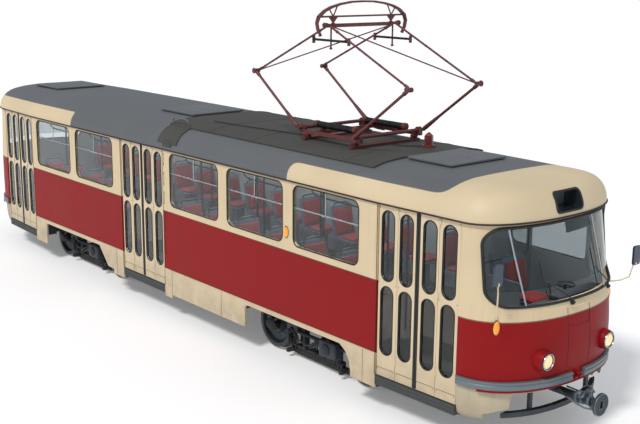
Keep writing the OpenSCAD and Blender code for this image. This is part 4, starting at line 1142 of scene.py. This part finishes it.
FOOT_Y, FOOT_Z = 0.92, 1.64
heads, arms, glasses = [], [], []
for side, across, z in ((-1, 1.262, 2.19), (1, 1.32, 1.975)):
    y = side * across
    head = prism_x(rounded(y - 0.068, z - 0.118, y + 0.068, z + 0.118, 0.025, 4), 6.701, 6.729)
    with Edit(head) as edit:
        edit.pick("FACE", lambda f: f.normal.x < -0.9)
        bpy.ops.mesh.inset(thickness=0.008)
        bpy.ops.transform.translate(value=(0.004, 0, 0))
    heads.append(head)
    glasses.append(prism_x(rounded(y - 0.058, z - 0.108, y + 0.058, z + 0.108, 0.018, 4), 6.7005, 6.704))
    arms.append(tube([(6.715, side * (across - 0.01), z - 0.1),
        (6.705, side * (across - 0.03), (z + 1.75) / 2), (6.675, side * (across - 0.06), 1.70),
        (6.6, side * (across - 0.14), 1.655), (6.46, side * FOOT_Y, FOOT_Z)], 0.009))
    arms.append(turned((6.722, side * (across - 0.01), z - 0.085), (0, 0, -1),
        [(0, 0.014), (0.03, 0.014), (0.04, 0.008)], 12))
    foot = front_at(side * FOOT_Y, FOOT_Z)
    arms.append(turned(foot - Vector((0.01, 0, 0)), (1, side * 0.6, 0),
        [(0, 0.018), (0.016, 0.017), (0.022, 0.01)], 16))
done(heads, "mirror_heads", "mirror_blue", replaces=["mirrors"])
done(arms, "mirror_arms", "cream_paint")
done(glasses, "mirror_glasses", "bright_metal")


# ---- windscreen bars, wipers, rung and hood ----

bars = []
for low_y, high_y in ((-0.76, -0.86), (0.58, 0.48)):
    line = [front_at(low_y + (high_y - low_y) * i / 8, 1.75 + 0.86 * i / 8, 0.004) for i in range(9)]
    bars.append(tube(line, 0.011))
done(bars, "screen_bars", "bright_metal")


def wiper(foot_y, tip_y, tip_z, blade):
    """Arm from its black base over the glass, with a blade along the glass."""
    base = front_at(foot_y, 1.70)
    parts = [turned(base - Vector((0.02, 0, 0)), (1, 0, 0.15),
        [(0, 0.03), (0.035, 0.028), (0.05, 0.018), (0.062, 0.012)], 16)]
    line = [base + Vector((0.035, 0, 0.0))]
    line += [front_at(foot_y + (tip_y - foot_y) * i / 5, 1.74 + (tip_z - 1.74) * i / 5, 0.034)
        for i in range(1, 6)]
    parts.append(tube(line, 0.006))
    edge = [front_at(tip_y + blade[0] * i, tip_z + blade[1] * i, 0.016) for i in (-1, -0.5, 0, 0.5, 1)]
    parts.append(tube(edge, 0.007))
    return joined("wiper", *parts)


done(wiper(-0.12, -0.52, 2.0, (-0.03, 0.22)), "right_wiper", "rubber")
done(wiper(0.72, 0.36, 2.02, (-0.03, 0.22)), "left_wiper", "rubber")
rung = [front_at(-0.14, 1.665, 0.0), front_at(-0.14, 1.668, 0.035), front_at(-0.12, 1.67, 0.048),
    front_at(0.12, 1.67, 0.048), front_at(0.14, 1.668, 0.035), front_at(0.14, 1.665, 0.0)]
done(tube(rung, 0.009), "front_rung", "cream_paint")
hood_line = [(-0.2, 1.655), (-0.2, 1.50), (-0.192, 1.46), (-0.165, 1.437), (-0.13, 1.43), (0.13, 1.43),
    (0.165, 1.437), (0.192, 1.46), (0.2, 1.50), (0.2, 1.655)]
hood = [front_at(y, z, 0.0006) for y, z in fine(hood_line, 0.04, False)]
done(tube(hood, 0.0025, rings=1), "hood_seam", "seam")
slits = [tube([front_at(y, 0.9 + 0.05 * i, 0.0006) for i in range(14)], 0.0018, rings=1)
    for y in (-0.2, 0.2)]
slits.append(tube([front_at(y / 20, 2.642, 0.002) for y in range(-20, 21)], 0.005))
done(slits, "front_seams", "seam")

# towing fitting in the bumper's gap, front and rear
for label, at, way in (("front", front_at, 1), ("rear", rear_at, -1)):
    x = abs(at(0, 0.82).x)
    parts = [turned((x - 0.06, 0, 0.825), (1, 0, 0), [(0, 0.07), (0.05, 0.07), (0.06, 0.06), (0.065, 0.04)],
        20)]
    for z in (0.795, 0.845):
        parts.append(turned((x + 0.03, 0, z), (0, 0, 1),
            [(0, 0.03), (0.004, 0.037), (0.016, 0.037), (0.02, 0.03)], 20))
    parts += [bar((x + 0.03, 0, 0.785), (x + 0.03, 0, 0.875), 0.014),
        block((x - 0.01, -0.03, 0.8), (x + 0.03, 0.03, 0.815), 0.004),
        block((x - 0.01, -0.03, 0.852), (x + 0.03, 0.03, 0.866), 0.004)]
    piece = joined("tow_eye", *parts)
    if way < 0:
        mirrored_x(piece)
    done(piece, f"{label}_tow_eye", "red_paint")


# ---- pantograph ----

SHAFT_X, SHAFT_Z = 0.563, 3.222
KNEE_X, KNEE_Z = 1.529, 3.925
APEX_Z = 4.626
ARM_Y, EYE_Y, GUIDE_Y, RAIL_Y = 0.635, 0.597, 0.555, 0.545


def local(x, y, z):
    return Vector((PAN_X + x, y, z))


for way, label in ((1, "front"), (-1, "rear")):
    lower, upper = [], []
    arm = (local(way * KNEE_X, 0, KNEE_Z) - local(way * SHAFT_X, 0, SHAFT_Z)).normalized()
    for side in (-1, 1):
        knee = local(way * KNEE_X, side * (ARM_Y + 0.0225), KNEE_Z)
        cap = turned(knee, (0, side, 0), [(0, 0.031), (0.006, 0.04), (0.014, 0.041), (0.022, 0.033),
            (0.026, 0.012)], 16)
        lower.append(cap)
        foot = local(way * SHAFT_X, side * ARM_Y, SHAFT_Z) + arm * 0.03
        lower.append(turned(foot, arm, [(0, 0.03), (0.05, 0.03), (0.3, 0.0215), (0.305, 0.019)], 16))
        top = local(way * KNEE_X, side * ARM_Y, KNEE_Z) - arm * 0.11
        lower.append(turned(top, arm, [(0, 0.0195), (0.01, 0.026), (0.075, 0.026), (0.08, 0.0195)], 16))
        far = local(0, side * EYE_Y, APEX_Z)
        bend = (far - local(way * KNEE_X, side * EYE_Y, KNEE_Z)).normalized()
        start = local(way * KNEE_X, side * EYE_Y, KNEE_Z) + bend * 0.05
        upper += [turned(start, bend, [(0, 0.0145), (0.008, 0.02), (0.06, 0.02), (0.068, 0.0145)], 14),
            turned(start + bend * 1.42, bend, [(0, 0.0145), (0.008, 0.019), (0.04, 0.019), (0.048, 0.0145)],
            14)]
        for i in range(3):
            upper.append(turned(start + bend * (0.12 + i * 0.42), bend,
                [(0, 0.0142), (0.003, 0.0165), (0.018, 0.0165), (0.021, 0.0142)], 12))
    done(lower, f"pantograph_lower_{label}_fittings", "pantograph_paint", body=f"pantograph_lower_{label}")
    if way > 0:
        for side in (-1, 1):
            upper.append(turned(local(0, side * 0.655, APEX_Z), (0, side, 0),
                [(0, 0.018), (0.004, 0.033), (0.018, 0.036), (0.03, 0.028), (0.036, 0.01)], 18))
    done(upper, f"pantograph_upper_{label}_fittings", "pantograph_paint", body=f"pantograph_upper_{label}")

# the head: gussets over the hubs, hanging guides with their black damper bars, horn tips
head, dampers = [], []
for side in (-1, 1):
    gusset = plate([(-0.012, 0.03), (0.012, 0.03), (0.075, 0.098), (0.075, 0.108), (-0.075, 0.108),
        (-0.075, 0.098)], 0.008)
    head += [settle(gusset, shift(PAN_X + 0.004, side * 0.52, APEX_Z) @ STAND_X @ shift(0, 0, -0.008)),
        bar(local(0, side * GUIDE_Y, APEX_Z - 0.03), local(0, side * GUIDE_Y, APEX_Z - 0.29), 0.012),
        turned(local(0, side * GUIDE_Y, APEX_Z - 0.29), (0, 0, -1),
        [(0, 0.013), (0.004, 0.02), (0.022, 0.02), (0.026, 0.012)], 14)]
    dampers.append(bar(local(-0.34, side * GUIDE_Y, APEX_Z - 0.2), local(0.34, side * GUIDE_Y, APEX_Z - 0.2),
        0.016))
    for end in (-1, 1):
        head.append(block(local(end * 0.35 - 0.012, side * GUIDE_Y - 0.02, APEX_Z - 0.25),
            local(end * 0.35 + 0.012, side * GUIDE_Y + 0.02, APEX_Z - 0.15), 0.004))
    head.append(turned(local(0, side * 0.743, 4.512), (0, side * 0.25, -1),
        [(0, 0.012), (0.01, 0.018), (0.022, 0.018), (0.03, 0.009)], 12))
done(head, "pantograph_head_fittings", "pantograph_paint", body="pantograph_head")
done(dampers, "pantograph_head_dampers", "spring_black", body="pantograph_head")
CROWN = [(-0.56, 4.868), (-0.4, 4.905), (-0.2, 4.93), (0, 4.935), (0.2, 4.93), (0.4, 4.905), (0.56, 4.868)]
strips = [tube([(PAN_X + x, y, z - 0.006) for y, z in CROWN], 0.007) for x in (-0.018, 0.018)]
done(strips, "contact_strips", "bright_metal", body="pantograph_head")

# the base: springs with their end caps, insulators, bolts along the rails, cross tubes
SPRING_Y, SPRING_Z, SPRING_LENGTH = 0.39, 3.2673, 0.73
base, coils = [], []
for side in (-1, 1):
    low = -0.35 if side > 0 else -0.48
    y, z = side * SPRING_Y, SPRING_Z
    points = []
    turns, r = 30, 0.0425
    for i in range(turns * 8 + 1):
        a = i / 8 * 2 * math.pi
        points.append((PAN_X + low + 0.05 + SPRING_LENGTH * i / (turns * 8), y + r * math.cos(a),
            z + r * math.sin(a)))
    coils.append(tube(points, 0.0058, rings=0))
    for x, way in ((low - 0.004, 1), (low + 0.834, -1)):
        base.append(turned(local(x, y, z), (way, 0, 0), [(0, 0.03), (0.004, 0.05), (0.05, 0.052),
            (0.06, 0.047)], 20))
    for x in (-0.55, -0.36, -0.12, 0.12, 0.36, 0.55):
        base.append(turned(local(x, side * 0.5748, 3.172), (0, side, 0),
            [(0, 0.009), (0.005, 0.009), (0.008, 0.005)], 6))
    for x in (-0.48, 0.48):
        for i in range(3):
            base.append(turned(local(x, side * RAIL_Y, 3.098 + 0.016 * i), (0, 0, 1),
                [(0, 0.043), (0.004, 0.056), (0.008, 0.056), (0.012, 0.043)], 20))
    base.append(tube([local(-0.59, side * RAIL_Y, 3.2), local(-0.2, side * 0.47, 3.16),
        local(0.0, side * 0.44, 3.16)], 0.009))
done(base, "pantograph_base_fittings", "pantograph_paint")
done(coils, "pantograph_coils", "spring_black")


# ---- bogies, wheels and couplers ----

def helix(x, y, z0, z1, r, wire, turns, steps=12):
    points = []
    for i in range(turns * steps + 1):
        a = 2 * math.pi * i / steps
        points.append((x + r * math.cos(a), y + r * math.sin(a), z0 + (z1 - z0) * i / (turns * steps)))
    return tube(points, wire, rings=1)


AXLE_Z, HALF_BASE = 0.377, 0.95  # height of the axles, and their distance from the pivot
BEAM_Y, BEAM_Z, BOX_Y, SHOE_Y = 0.9, 0.6, 0.95, 0.86


def bogie_fittings():
    """Both sides of one bogie, about its own middle: what hangs outside the wheels."""
    parts, springs, boxes = [], [], []
    for side in (-1, 1):
        for x in (-0.17, 0.17):
            springs.append(helix(x, side * 0.66, 0.5, 0.68, 0.076, 0.013, 4))
        # side beam, its brackets and the brake's hangers
        y = side * BEAM_Y
        parts += [bar((-1.02, y, BEAM_Z), (0.3, y, BEAM_Z), 0.042, 16),
            bar((-0.35, y, 0.44), (0.95, y, 0.44), 0.026, 14)]
        for x in (-0.98, -0.52, 0.05, 0.28):
            parts.append(turned((x - 0.03, y, BEAM_Z), (1, 0, 0),
                [(0, 0.042), (0.006, 0.054), (0.054, 0.054), (0.06, 0.042)], 16))
        for x in (-0.55, -0.2, 0.2, 0.5):
            parts.append(block((x - 0.02, y, 0.2), (x + 0.02, side * 0.8, 0.58), 0.008))
        for x in (-0.42, 0.0, 0.42):
            parts += [helix(x, side * SHOE_Y, 0.2, 0.36, 0.036, 0.009, 5, 8),
                bar((x, side * SHOE_Y, 0.15), (x, side * SHOE_Y, 0.42), 0.012)]
        # damper, cable box and the rounded housing ahead of it
        parts += [bar((0.05, side * BOX_Y, 0.34), (0.42, side * BOX_Y, 0.53), 0.03),
            bar((-0.02, side * BOX_Y, 0.3), (0.2, side * BOX_Y, 0.415), 0.018)]
        boxes += [block((0.22, side * 0.82, 0.28), (0.56, side * 1.0, 0.52), 0.035, 4),
            block((-0.5, side * 0.84, 0.46), (-0.28, side * 0.96, 0.57), 0.02, 3)]
        parts.append(turned((0.38, side * 1.0, 0.4), (0, side, 0),
            [(0, 0.08), (0.012, 0.078), (0.02, 0.06), (0.024, 0.02)], 20))
        for x in (-HALF_BASE, HALF_BASE):
            parts += [block((x - 0.11, side * 0.82, 0.33), (x + 0.11, side * 0.9, 0.43), 0.02, 3),
                turned((x, side * 0.82, AXLE_Z), (0, side, 0),
                [(0, 0.1), (0.03, 0.1), (0.06, 0.086), (0.085, 0.08), (0.095, 0.05)], 24),
                bar((x, side * 0.87, 0.4), (x * 0.72, side * 0.9, 0.6), 0.024)]
        # feet of the track brake
        for x in (-0.56, 0.56):
            parts += [block((x - 0.07, side * 0.72, 0.05), (x + 0.07, side * 0.785, 0.13), 0.014, 3),
                turned((x, side * 0.9, 0.1), (0, -side, 0),
                [(0, 0.03), (0.02, 0.034), (0.11, 0.034), (0.12, 0.02)], 14),
                bar((x * 0.86, side * SHOE_Y, 0.12), (x, side * SHOE_Y, 0.36), 0.014)]
        parts += [bar((-0.56, side * 0.84, 0.2), (0.56, side * 0.84, 0.2), 0.02),
            tube([(-0.4, side * 0.97, 0.5), (-0.2, side * 1.0, 0.38), (0.0, side * 1.0, 0.35),
            (0.2, side * 0.98, 0.45), (0.25, side * 0.9, 0.52)], 0.013),
            tube([(-0.9, side * 0.96, 0.57), (-0.7, side * 0.98, 0.42), (-0.5, side * 0.97, 0.38),
            (-0.36, side * 0.92, 0.47)], 0.011)]
    return joined("bogie_fittings", *parts), joined("bogie_springs", *springs), joined("bogie_boxes", *boxes)


sets = bogie_fittings()
for label, x in BOGIES.items():
    for piece, name, finish, slot in zip(sets, ("fittings", "springs", "boxes"),
            ("brake_steel", "spring_black", "dark_steel"), ("dark_steel", "spring_black", "dark_steel")):
        done(again(piece, shift(x)), f"{label}_bogie_{name}", finish, body=f"{label}_bogie")
for piece in sets:
    bpy.data.objects.remove(piece)

TYRE_Y, HUB_Y = 0.7428, 0.792
wheel = []
for side in (-1, 1):
    wheel.append(turned((0, side * TYRE_Y, 0), (0, side, 0),
        [(0, 0.27), (0.004, 0.262), (0.014, 0.262), (0.02, 0.25), (0.012, 0.2), (0.006, 0.17), (0.002, 0.16)],
        40))
    for i in range(8):
        a = math.pi / 4 * i
        wheel.append(turned((0.1 * math.cos(a), side * HUB_Y, 0.1 * math.sin(a)), (0, side, 0),
            [(0, 0.013), (0.01, 0.013), (0.014, 0.008)], 6))
    wheel.append(turned((0, side * HUB_Y, 0), (0, side, 0),
        [(0, 0.062), (0.006, 0.062), (0.012, 0.05), (0.014, 0.02)], 24))
wheel = joined("wheel_faces", *wheel)
for n, (label, way) in enumerate((("front", 1), ("front", -1), ("rear", 1), ("rear", -1)), 1):
    done(again(wheel, shift(BOGIES[label] + way * HALF_BASE, 0, AXLE_Z)), f"wheel_faces_{n}", "wheel_steel",
        body=f"wheelset_{n}")
bpy.data.objects.remove(wheel)


COUPLER_Z, FACE_X = 0.56, 7.2556


def coupler_fittings():
    """Pipes, clamps and the pin at a coupler, drawn for the front."""
    parts = [turned((x, 0, COUPLER_Z), (1, 0, 0), profile, sides) for x, profile, sides in (
        (6.93, [(0, 0.05), (0.006, 0.078), (0.03, 0.08), (0.036, 0.06)], 24),
        (7.0, [(0, 0.059), (0.006, 0.07), (0.024, 0.07), (0.03, 0.059)], 24),
        (7.09, [(0, 0.05), (0.006, 0.064), (0.03, 0.064), (0.04, 0.04)], 24),
        (7.2, [(0, 0.04), (0.01, 0.075), (0.024, 0.1), (0.028, 0.12)], 28))]
    for side in (-1, 1):
        parts += [tube([(6.72, side * 0.07, 0.6), (6.85, side * 0.12, 0.57), (7.0, side * 0.125, 0.53),
            (7.1, side * 0.1, 0.5), (7.19, side * 0.07, 0.5)], 0.011),
            bar((6.99, side * 0.06, 0.58), (7.08, side * 0.115, 0.64), 0.016),
            block((7.0, side * 0.05, 0.6), (7.07, side * 0.1, 0.64), 0.01),
            turned((7.03, side * 0.11, 0.65), (0, 0, 1),
            [(0, 0.02), (0.01, 0.026), (0.03, 0.026), (0.036, 0.014)], 14)]
    parts += [bar((7.12, 0, 0.47), (7.12, 0, 0.68), 0.017),
        turned((7.12, 0, 0.675), (0, 0, 1), [(0, 0.017), (0.006, 0.03), (0.02, 0.03), (0.03, 0.016)], 14),
        tube([(7.12, 0, 0.69), (7.08, 0.05, 0.72), (7.0, 0.06, 0.7), (6.95, 0.05, 0.66)], 0.006)]
    rim = [(FACE_X, 0.128 * math.cos(math.pi * i / 20), COUPLER_Z + 0.128 * math.sin(math.pi * i / 20))
        for i in range(40)]
    parts.append(tube(rim, 0.006, closed=True))
    hole = fine(rounded(-0.034, 0.513, 0.034, 0.607, 0.008, 3), 0.05)
    parts.append(tube([(FACE_X, y, z) for y, z in hole], 0.004, closed=True, rings=1))
    return joined("coupler_fittings", *parts)


piece = coupler_fittings()
done(again(piece, FLIP_X), "rear_coupler_fittings", "bumper_steel", body="rear_coupler")
done(piece, "front_coupler_fittings", "bumper_steel", body="front_coupler")


# ---- the saloon and the cab ----

FLOOR = 0.9
SEAT_PITCH, SEAT_Y = 0.745, 0.86
SEATS = [(start + SEAT_PITCH * i, y, 0) for start, y, count
    in ((-5.35, SEAT_Y, 14), (0.5, -SEAT_Y, 6), (-4.1, -SEAT_Y, 4))
    for i in range(count)] + [(5.85, 0.42, 0.06)]
PAN_TOP = 0.4305


def cushion(length, width, thick, crown, pull):
    """A crowned closed pad, flat below, whose sides pull in between its corners, with a sewn seam."""
    half = Vector((length / 2, width / 2, thick / 2))
    r = thick * 0.46
    inner = half - Vector((r, r, r))
    clear()
    bpy.ops.mesh.primitive_cube_add(size=2)
    obj = named("cushion")
    with Edit(obj):
        bpy.ops.mesh.subdivide(number_cuts=15)

    def drawn_in(p):
        u, v = p.x / half.x, p.y / half.y
        return Vector((p.x * (1 - pull * (1 - v * v)), p.y * (1 - pull * (1 - u * u)), p.z))

    for point in obj.data.vertices:
        p = Vector(point.co[k] * half[k] for k in range(3))
        core = Vector(max(-inner[k], min(inner[k], p[k])) for k in range(3))
        if (p - core).length > 1e-6:
            p = core + (p - core).normalized() * r
        if p.z > 0:
            u, v = p.x / half.x, p.y / half.y
            p.z += crown * max(0, 1 - u ** 4) * max(0, 1 - v ** 4)
            for line in (-0.34, 0.34):
                p.z -= 0.16 * thick * math.exp(-((v - line) / 0.06) ** 2) * max(0, 1 - u ** 6)
        point.co = drawn_in(p)
    outline = rounded(-half.x, -half.y, half.x, half.y, r * 1.6, 3)
    seam = tube([drawn_in(Vector((x, y, thick * 0.12))) for x, y in fine(outline, 0.03)], 0.0035, closed=True,
        rings=1)
    return joined("cushion", obj, seam)


pad = cushion(0.35, 0.374, 0.04, 0.016, 0.035)
back = cushion(0.395, 0.374, 0.034, 0.012, 0.03)
lean_back = Matrix.Rotation(math.radians(-90) - math.atan(0.2), 4, "Y")
for i, (x, y, lift) in enumerate(SEATS):
    name = "driver" if i == len(SEATS) - 1 else f"seat_{i + 1:02d}"
    base = shift(x, y, FLOOR + lift)
    lower = again(pad, base @ shift(0.031, 0, PAN_TOP + 0.021))
    upper = again(back, base @ shift(-0.2485 + 0.019, 0, 0.667) @ lean_back
        @ Matrix.Rotation(math.pi, 4, "X"))
    for obj, part in ((lower, "seat_pad"), (upper, "back_pad")):
        done(obj, f"{name}_{part}", "seat_red", replaces=["seat_cushions"] if i == 0 else (), smooth=60)
for obj in (pad, back):
    bpy.data.objects.remove(obj)

grips = []
for x, y, _ in SEATS[:-1]:
    grips.append(tube([(x + dx, y + dy, FLOOR + h) for dx, dy, h in (
        (-0.296, -0.15, 0.82), (-0.306, -0.15, 0.9), (-0.31, -0.13, 0.925), (-0.312, -0.09, 0.935),
        (-0.312, 0.09, 0.935), (-0.31, 0.13, 0.925), (-0.306, 0.15, 0.9), (-0.296, 0.15, 0.82))], 0.011))
done(grips, "seat_grips", "rail_black")

RAIL_Z, POLE_Y, BAY_RAIL_Y = 2.47, 0.61, 1.02
loops = []
for side, row in ((-1, FRONT_ROW + REAR_ROW), (1, LEFT_ROW[1:-1])):
    for x in row:
        line = [(-0.56, 2.66), (-0.55, 2.58), (-0.52, 2.515), (-0.46, 2.475), (-0.38, 2.46), (0.38, 2.46),
            (0.46, 2.475), (0.52, 2.515), (0.55, 2.58), (0.56, 2.66)]
        loops.append(tube([(x + dx, side * BAY_RAIL_Y, z) for dx, z in line], 0.012))
for x in (-4.35, -3.0, -1.33, 0.17, 1.62, 3.11, 4.72):
    for y in (-POLE_Y, POLE_Y):
        loops += [bar((x, y, RAIL_Z), (x, y, 2.86), 0.014),
            turned((x, y, 2.46), (0, 0, 1), [(0, 0.02), (0.006, 0.026), (0.034, 0.026), (0.04, 0.02)], 16)]
done(loops, "ceiling_rails", "rail_black")

DESK_TOP, WHEEL_X, WHEEL_Y, WHEEL_Z, WHEEL_R = 1.601, 6.3, 0.5, 1.66, 0.11
desk = [block((6.42, 0.02, DESK_TOP), (6.6, 0.84, 1.66), 0.012)]
for y, r in ((0.16, 0.036), (0.27, 0.045), (0.4, 0.045), (0.52, 0.036), (0.66, 0.03)):
    desk.append(turned((6.418, y, 1.632), (-1, 0, 0.15), [(0, r * 0.6), (0.006, r * 0.6), (0.008, r * 0.5)],
        24))
done(desk, "desk_panel", "desk_grey")
wheel = [tube([(WHEEL_X + WHEEL_R * math.cos(a), WHEEL_Y + WHEEL_R * math.sin(a), WHEEL_Z)
    for a in [math.tau * i / 24 for i in range(24)]], 0.011, closed=True),
    bar((WHEEL_X, WHEEL_Y, DESK_TOP), (WHEEL_X, WHEEL_Y, 1.672), 0.02)]
for k in range(3):
    a = math.tau * k / 3
    wheel.append(bar((WHEEL_X, WHEEL_Y, 1.662), (WHEEL_X + 0.108 * math.cos(a), WHEEL_Y + 0.108 * math.sin(a),
        WHEEL_Z), 0.008))
wheel += [bar((6.32, 0.2, DESK_TOP), (6.28, 0.2, 1.72), 0.009),
    turned((6.28, 0.2, 1.71), (0, 0, 1), [(0, 0.012), (0.01, 0.022), (0.026, 0.022), (0.036, 0.01)], 16)]
done(wheel, "desk_controls", "rail_black")
blind = shell([[tuple(front_at(y / 100, z, -0.105)) for y in range(8, 97, 8)] for z in (2.42, 2.5, 2.6)])
apply(blind, "SOLIDIFY", thickness=0.004, offset=-1)
done(blind, "sun_blind", "blind_grey")

opening = inset(rounded(-0.08, 1.75, 1.07, 2.48, 0.06, 4), -0.004)
done(tube([(5.26, y, z) for y, z in fine(opening)], 0.009, closed=True), "partition_rubber", "rubber")
pane = plate(rounded(-0.078, 1.752, 1.068, 2.478, 0.058, 4), 0.006, shift(5.242) @ STAND_X)
done(pane, "partition_pane", "window_glass")


# ---- floor, light and camera ----

clear()
bpy.ops.mesh.primitive_plane_add(size=160, location=(0, 0, -0.004))
ground = named("studio_floor")
backdrop = bpy.data.materials.new("backdrop")
backdrop.use_nodes = True
t = Tree(backdrop.node_tree)
shader = backdrop.node_tree.nodes["Principled BSDF"]
shader.inputs["Base Color"].default_value = (0.93, 0.93, 0.94, 1)
shader.inputs["Roughness"].default_value = 0.9
shader.inputs["Emission Color"].default_value = (1, 1, 1, 1)
shader.inputs["Emission Strength"].default_value = 0.17
ground.data.materials.append(backdrop)

world = bpy.data.worlds.new("studio")
world.use_nodes = True
bpy.context.scene.world = world
t = Tree(world.node_tree)
sky = world.node_tree.nodes["Background"]
sky.inputs["Strength"].default_value = 0.5
sky.inputs["Color"].default_value = (0.86, 0.93, 1, 1)
white = t.add("Background", values={"Color": (1, 1, 1, 1), "Strength": 1.0})
seen = t.add("LightPath")
either = t.math("MAXIMUM", seen.outputs["Is Camera Ray"], seen.outputs["Is Transmission Ray"])
both = t.add("MixShader", {"Fac": either})
t.tree.links.new(sky.outputs[0], both.inputs[1])
t.tree.links.new(white.outputs[0], both.inputs[2])
t.tree.links.new(both.outputs[0], world.node_tree.nodes["World Output"].inputs["Surface"])


def lamp(name, kind, place, aim, energy, **settings):
    data = bpy.data.lights.new(name, kind)
    data.energy = energy
    for key, value in settings.items():
        setattr(data, key, value)
    obj = bpy.data.objects.new(name, data)
    bpy.context.scene.collection.objects.link(obj)
    obj.matrix_world = aimed(place, Vector(place) - Vector(aim))
    return obj


lamp("key", "SUN", (2.5, -12, 16), (0, 0, 1), 2.0, angle=math.radians(12), color=(1.0, 0.97, 0.93))
for x in (-3.2, 2.2):
    lamp("saloon", "AREA", (x, 0, 2.84), (x, 0, 0), 50, shape="RECTANGLE", size=4.6, size_y=0.9)
lamp("cab", "AREA", (6.0, 0, 2.8), (6.0, 0, 0), 9, size=0.6)
lamp("fill", "AREA", (20, 4, 9), (4, 0, 1.5), 120, size=9.0)

CAMERA_AT = (13.6462, -9.6185, 5.3402)
CAMERA_LENS = 59.15
CAMERA_TURN = (139.686, -13.034, 0.493)  # degrees round Z, up, and about the view
yaw, pitch, roll = (math.radians(a) for a in CAMERA_TURN)
ahead = Vector((math.cos(yaw) * math.cos(pitch), math.sin(yaw) * math.cos(pitch), math.sin(pitch)))
right = ahead.cross(Vector((0, 0, 1))).normalized()
up = right.cross(ahead)
right, up = right * math.cos(roll) + up * math.sin(roll), up * math.cos(roll) - right * math.sin(roll)
camera = bpy.data.objects.new("camera", bpy.data.cameras.new("camera"))
camera.data.lens = CAMERA_LENS
camera.data.sensor_width = 36
camera.data.clip_end = 300
camera.matrix_world = Matrix.Translation(CAMERA_AT) @ Matrix((right, up, -ahead)).transposed().to_4x4()
bpy.context.scene.collection.objects.link(camera)
bpy.context.scene.camera = camera
bpy.context.scene.view_settings.view_transform = "Standard"

bpy.context.view_layer.update()
